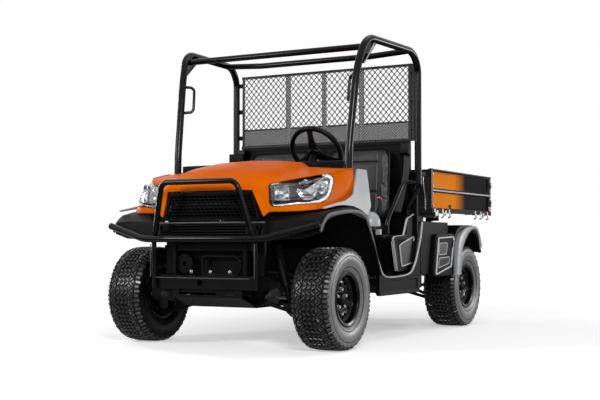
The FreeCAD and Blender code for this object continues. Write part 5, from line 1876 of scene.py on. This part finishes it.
@dataclass
class Trim:
    """Lips, lines and frames on the body's panels, the same on both sides; the grey fender lips, the pale
    door lines and the grey nose line are painted highlights on black edges.
    """

    lip: tuple = ((752, -290, 716), (756, -262, 762), (757, -205, 806), (757, -126, 822),
                  (758, 31, 838), (760, 166, 841), (758, 256, 830), (755, 335, 797), (750, 420, 691),
                  (742, 573, 438))
    door: tuple = ((736, 300, 862), (736, 367, 778), (736, 473, 633), (736, 560, 503), (736, 627, 436),
                   (736, 760, 419), (736, 1042, 433), (736, 1144, 491), (736, 1209, 590),
                   (736, 1262, 690), (736, 1290, 791))
    vent: tuple = ((1474, 416), (1776, 470), (1836, 688), (1530, 678))
    steps: tuple = (((1540, 556), (1686, 562), (1712, 644), (1556, 640)),
                    ((1528, 462), (1740, 492), (1752, 540), (1546, 534)))
    bulge: tuple = ((1434, 402), (1500, 706), (1850, 716), (1842, 600), (1828, 402))
    band: tuple = (((1866, 401), (1962, 405)), ((1884, 541), (1980, 539)), ((1932, 670), (2026, 626)),
                   ((2042, 746), (2138, 714)), ((2202, 772), (2268, 748)), ((2330, 758), (2352, 700)),
                   ((2424, 640), (2398, 590)))
    recess: tuple = ((958, 628), (1015, 645), (1212, 690), (1208, 596), (1170, 506), (1001, 484))
    cover: tuple = ((905, 456), (836, 676), (880, 690), (1022, 698), (1052, 752), (1084, 812),
                    (1200, 846))

    def build(self) -> None:
        """Make the trim."""
        # the grey lip is a painted highlight along the black flare's edge
        lip = Piece("fender_lip_highlights", Look.GREY)
        lip.strip(curve(self.lip, 70), rounded([(-3, -12), (3, -10), (4, 10), (-3, 12)], 3, 4),
                  up=(0, 0, 1))
        lip.mirrored().build(smooth=45)
        # the pale door line is a painted highlight along the edge of the black tub
        line = Piece("door_edge_highlights", Look.EDGE)
        line.strip(curve(self.door, 60), rounded([(-3.5, -7), (3.5, -7), (3.5, 7), (-3.5, 7)], 3, 4),
                   up=(1, 0, 0))
        line.mirrored().build(smooth=45)
        frames_piece = Piece("vent_frames", Look.EDGE)
        for ring, x, size in ((self.vent, 766, 6), (self.steps[0], 762, 3.5), (self.steps[1], 762, 3.5)):
            path = rounded(ring, 12, 5)
            full = np.stack((np.full(len(path), float(x)), path[:, 0], path[:, 1]), -1)
            frames_piece.tube(full, size, 10, closed=True)
        frames_piece.mirrored().build(smooth=60)
        bulge = Piece("side_bulges", Look.MOULDED).prism(rounded(self.bulge, 26, 5), 716, 763)
        bulge.mirrored().build(bevel=9, segments=4)
        hollow = Piece("vent_hollows", Look.CHARCOAL)
        for ring in self.steps:
            hollow.prism(rounded(ring, 10, 4), 760, 763.6)
        hollow.mirrored().build()
        seat_frames = Piece("seat_cover_frames", Look.EDGE)
        ring = rounded(self.recess, 14, 5)
        seat_frames.tube(np.stack((np.full(len(ring), 705.0), ring[:, 0], ring[:, 1]), -1), 4.5, 10,
                         closed=True)
        for x, width, path in ((706, 7, self.cover), (705, 11, self.cover[:2])):
            line_path = np.array([(x, y, z) for y, z in path], float)
            seat_frames.strip(bent_path(line_path, [18] * (len(path) - 2)) if len(path) > 2 else line_path,
                              [(-2, -width), (2, -width), (2, width), (-2, width)], up=(1, 0, 0))
        seat_frames.mirrored().build(smooth=50, bevel=1)
        inset = Piece("seat_cover_insets", Look.CHARCOAL).prism(rounded(self.recess, 14, 5), 703.5, 705)
        inset.mirrored().build(smooth=50)
        slats = Piece("vent_slats", Look.SMOOTH_BLACK)
        for z in np.arange(484, 524, 10):
            slats.beam((764, 1552, z), (764, 1732, z + 10), 4, 3, up=(1, 0, 0))
        slats.mirrored().build(bevel=1)
        crease = Piece("side_panel_creases", Look.GREY)
        crease.strip(curve([(694, 200, 958), (693, 290, 984), (690, 350, 1000), (689, 430, 1018)], 20),
                     rounded([(-2, -2.5), (2, -2.5), (2, 2.5), (-2, 2.5)], 1, 3), up=(0, 0, 1))
        crease.mirrored().build(smooth=60)
        arch = Piece("rear_arch_fronts", Look.SILVER)
        edges = np.array(self.band, float)
        outer, inner = (curve([(0, y, z) for y, z in edges[:, k]], 60)[:, 1:] for k in (0, 1))
        rows = []
        for share, x in ((0, 745), (0, 776), (0.12, 782), (0.45, 785), (0.85, 782), (1, 775), (0.9, 773.5),
                         (0.06, 773.5), (0.06, 745)):
            flat = outer + (inner - outer) * share
            rows.append(np.column_stack((np.full(60, float(x)), flat)))
        arch.sheet(np.stack(rows, 1), wrap_cols=True, caps=True)
        arch.mirrored().build(smooth=50)
        # a painted highlight along the top edge of the black front cover
        nose = Piece("cover_edge_highlight", Look.GREY)
        reach = curve([(-410, -272, 786), (-392, -300, 772), (-360, -318, 770), (-200, -336, 771),
                       (0, -342, 771), (200, -336, 771), (360, -318, 770), (392, -300, 772),
                       (410, -272, 786)], 90)
        nose.strip(reach, rounded([(-7, -5), (7, -5), (7, 5), (-7, 5)], 4, 5), up=(0, 0, 1))
        nose.build(smooth=45)
        clips = Piece("cover_clips", Look.SMOOTH_BLACK)
        for side in (-1, 1):
            clips.block((side * 352 - 14, -330, 728), (side * 352 + 14, -312, 756))
        clips.build(bevel=3, segments=3)


@dataclass
class Bed:
    """Painted sides, a painted highlight line along their groove, rails, reflectors, rope hooks, latches
    and bolts of the load bed.

    Boxes are two opposite corners on the left side.
    """

    bead: tuple = ((744, 1462, 1019), (750, 2742, 1031))
    top_rail: tuple = ((734, 1450, 1176), (734, 2748, 1176))
    reflector: tuple = ((744, 2678, 898), (752, 2716, 934))
    marker: tuple = ((744, 1800, 900), (750, 1834, 926))
    lower_rail: tuple = ((743.5, 1448, 862), (749, 2746, 898))
    hooks: Numbers = (1492, 1648, 1782, 2352, 2480, 2640)
    hook: tuple = ((736, 872), (758, 868), (758, 836), (742, 828))
    eyes: Numbers = (1520, 1690, 2520)
    latch_heights: Numbers = (1108, 962)
    bolt_spots: tuple = ((1470, 2725), (912, 1000, 1054, 1140))

    def build(self) -> None:
        """Make the bed's trim; the sides keep their CAD form with a paint that fades rearwards."""
        refine("bed_sides", Look.BED_SIDE, 1.6)
        # a thin silver line along the groove: a painted highlight on the lower panel's top edge
        bead = Piece("bed_side_groove_highlights", Look.SILVER, "bed", "silver_plastic").block(*self.bead).mirrored()
        bead.build(bevel=1.2)
        rail = Piece("bed_top_rails", Look.CHARCOAL, "bed")
        rail.strip(np.array(self.top_rail, float),
                   rounded([(-15, -6), (15, -6), (15, 5), (-15, 5)], 4, 4), up=(0, 0, 1))
        rail.mirrored().build(smooth=45)
        lamp = Piece("bed_reflectors", Look.RED, "bed").block(*self.reflector).mirrored()
        lamp.build(bevel=2, segments=3)
        Piece("bed_markers", Look.SMOOTH_BLACK, "bed").block(*self.marker).mirrored().build(bevel=1.5)
        Piece("bed_lower_rails", Look.CHASSIS, "bed").block(*self.lower_rail).mirrored().build(bevel=1.5)
        self.fastenings()

    def fastenings(self) -> None:
        """Make the hooks, eyes, latches and bolts."""
        hooks = Piece("bed_hooks", Look.ZINC, "bed")
        for y in self.hooks:
            hooks.tube(bent_path(np.insert(self.hook, 1, y, axis=1), [9, 9]), 5.5, 12)
            hooks.block((749, y - 11, 862), (753, y + 11, 892))
        for y in self.eyes:
            hooks.block((749, y - 16, 842), (762, y + 16, 880))
        hooks.mirrored().build(smooth=50)
        latch = Piece("tailgate_latches", Look.ZINC, "bed")
        for z in self.latch_heights:
            latch.block((746, 2726, z - 18), (756, 2748, z + 18))
            latch.tube(np.array([(756, 2735, z - 26), (756, 2735, z + 26)], float), 5, 12)
        latch.mirrored().build(smooth=50, bevel=1)
        bolts = Piece("bed_bolts", Look.ZINC, "bed")
        spots = [(746, y, z) for y in self.bolt_spots[0] for z in self.bolt_spots[1]]
        bolts.hexes(spots, (1, 0, 0), 11, 5)
        bolts.mirrored().build(smooth=25)


@dataclass
class MidBay:
    """What shows between the cab and the load bed: service box, cab's lower back, stays, posts.

    Boxes are two opposite corners, or what they span in x, y and z.
    """

    box: tuple = (((1206, 640), (1430, 640), (1430, 836), (1206, 848)), (-688, 688))
    ribs: tuple[int, int, int] = (-520, 600, 80)
    air_box: tuple = ((1440, 1700), (660, 788), 520, 90)
    back: tuple = ((-694, 1190, 600), (694, 1196, 880))
    back_wings: tuple = (((300, 694), (1190, 1196), (430, 600)), ((620, 724), (1262, 1306), (330, 700)))
    stay: tuple = ((700, 1390, 1136), (700, 1400, 1060), (702, 1436, 960), (700, 1440, 880))
    stay_end: tuple = ((684, 1376, 1128), (714, 1404, 1152))
    posts: tuple = (((690, 1212, 640), (728, 1240, 1150)), ((690, 1212, 1120), (722, 1400, 1150)))

    def build(self) -> None:
        """Make the parts of the bay."""
        box = Piece("service_box", Look.MOULDED).prism(rounded(self.box[0], 20), *self.box[1])
        for x in np.arange(*self.ribs):
            box.block((x, 1214, 846), (x + 30, 1420, 852))
        (y0, y1), (z0, z1), middle, half = self.air_box
        for x in (-middle, middle):
            box.block((x - half, y0, z0), (x + half, y1, z1))
        box.build(bevel=3, segments=3)
        back = Piece("cab_back_lower", Look.MOULDED).block(*self.back)
        for side in (-1, 1):
            for span, (y0, y1), (z0, z1) in self.back_wings:
                low, high = sorted(side * x for x in span)
                back.block((low, y0, z0), (high, y1, z1))
        back.build(bevel=1.5)
        stay = Piece("bed_front_stays", Look.ZINC).tube(bent_path(self.stay, [40, 40]), 6, 14)
        stay.block(*self.stay_end)
        stay.mirrored().build(smooth=50, bevel=1)
        posts = Piece("bed_front_posts", Look.CHASSIS)
        for corners in self.posts:
            posts.block(*corners)
        posts.mirrored().build(bevel=3)


@dataclass
class Chassis:
    """Shaft boots, painted highlights on the front plate's edges, the radiator's shroud and the bolts
    before it.

    A boot is its two ends, the mean radius at each and its number of folds.
    """

    boots: tuple = (((470, 0, 311), (545, 0, 311), 46, 30, 5),
                    ((440, 2150, 311), (515, 2150, 311), 48, 30, 5),
                    ((215, 0, 318), (290, 0, 316), 30, 44, 5))
    plate_edge: tuple = ((-340, -407, 434), (340, -402.5, 438))
    plate_side: tuple = ((-408, -403), (438, 640), (372, 376))
    shroud: tuple = (((-60, 452), (190, 452), (214, 480), (214, 540), (176, 566), (-60, 566)), -300)
    shroud_posts: Pair = (-250, 262)
    header: tuple = ((-330, -320, 600), (330, -300, 634))
    fan: tuple = (((0, 12), (8, 14), (8, 60), (0, 62), (-6, 36)), (-190, -300, 520))
    bolt_spots: tuple = ((-250, -140, 0, 140, 262), (470, 618))

    def bellows(self, piece: Piece, start: Sequence[float], end: Sequence[float], wide: float,
                thin: float, folds: int) -> None:
        """Folded boot: r(t) swings by 13 % between the root and the crest of each fold.

        Args:
            piece: what to add to.
            start: middle of the wide end.
            end: middle of the thin end.
            wide: mean radius at the start.
            thin: mean radius at the end.
            folds: number of folds.
        """
        start, end = np.array(start, float), np.array(end, float)
        t = np.linspace(0, 1, folds * 6 + 1)
        radius = np.interp(t, (0, 1), (wide, thin)) * (1 + 0.13 * np.cos(2 * math.pi * folds * t))
        piece.tube(start + (end - start) * t[:, None], radius, 28)

    def build(self) -> None:
        """Make them on both sides."""
        boots = Piece("drive_shaft_boots", Look.BOOT)
        for boot in self.boots:
            self.bellows(boots, *boot)
        boots.mirrored().build(smooth=60)
        # grey strips on the plate's top and side edges are painted highlights
        lip = Piece("front_plate_edge_highlights", Look.GREY).block(*self.plate_edge)
        (y0, y1), (z0, z1), span = self.plate_side
        for side in (-1, 1):
            low, high = sorted(side * x for x in span)
            lip.block((low, y0, z0), (high, y1, z1))
        lip.build(bevel=0.8)
        inner = Piece("radiator_shroud", Look.MOULDED)
        ring, y = rounded(self.shroud[0], 22, 6), self.shroud[1]
        inner.tube(np.insert(ring, 1, y, axis=1), 9, 12, closed=True)
        for x in self.shroud_posts:
            inner.block((x - 12, -330, 440), (x + 12, -250, 640))
        inner.block(*self.header)
        inner.spin(self.fan[0], self.fan[1], (0, -1, 0), 32, closed=True)
        inner.build(smooth=50, bevel=1.5)
        bolts = Piece("front_bolts", Look.ZINC)
        spots = [(x, -304, z) for x in self.bolt_spots[0] for z in self.bolt_spots[1]]
        bolts.hexes(spots, (0, -1, 0), 16, 8)
        bolts.build(smooth=25, bevel=0.8)


PARTS: tuple[type, ...] = (Wheels, Hood, Headlight, Grille, RearScreen, CabBack, Seats, Cockpit,
                           Trim, Bed, MidBay, Chassis)


# ---------- the vehicle


@dataclass
class Softened:
    """CAD nodes whose own form is shown, with softened edges of the given or common width."""

    looks: dict[str, Look] = field(default_factory=lambda: {
        "side_panels": Look.SILVER, "rear_arches": Look.SMOOTH_BLACK})
    bevels: dict[str, float] = field(default_factory=lambda: {
        "dashboard": 3.0, "sills": 2.5, "rear_panels": 2.5, "seat_side_covers": 2.0})
    common: float = 1.2

    def build(self) -> None:
        """Stand a softened copy in for each shown node."""
        slots = {s["node"]: s["material_slot"] for s in frame["record"]["subparts"]}
        for node, shape in frame["nodes"].items():
            if shape.hide_render:
                continue
            look = self.looks.get(node) or SLOT_LOOK[slots[node]]
            refine(node, look, self.bevels.get(node, self.common))


def main() -> None:
    """Build the studio and the vehicle."""
    logging.basicConfig(level=logging.INFO, format="%(message)s")
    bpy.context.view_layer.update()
    Studio().build()
    for part in PARTS:
        part().build()
        LOG.info("made %s", part.__name__)
    Softened().build()


if __name__ == "__main__":
    main()
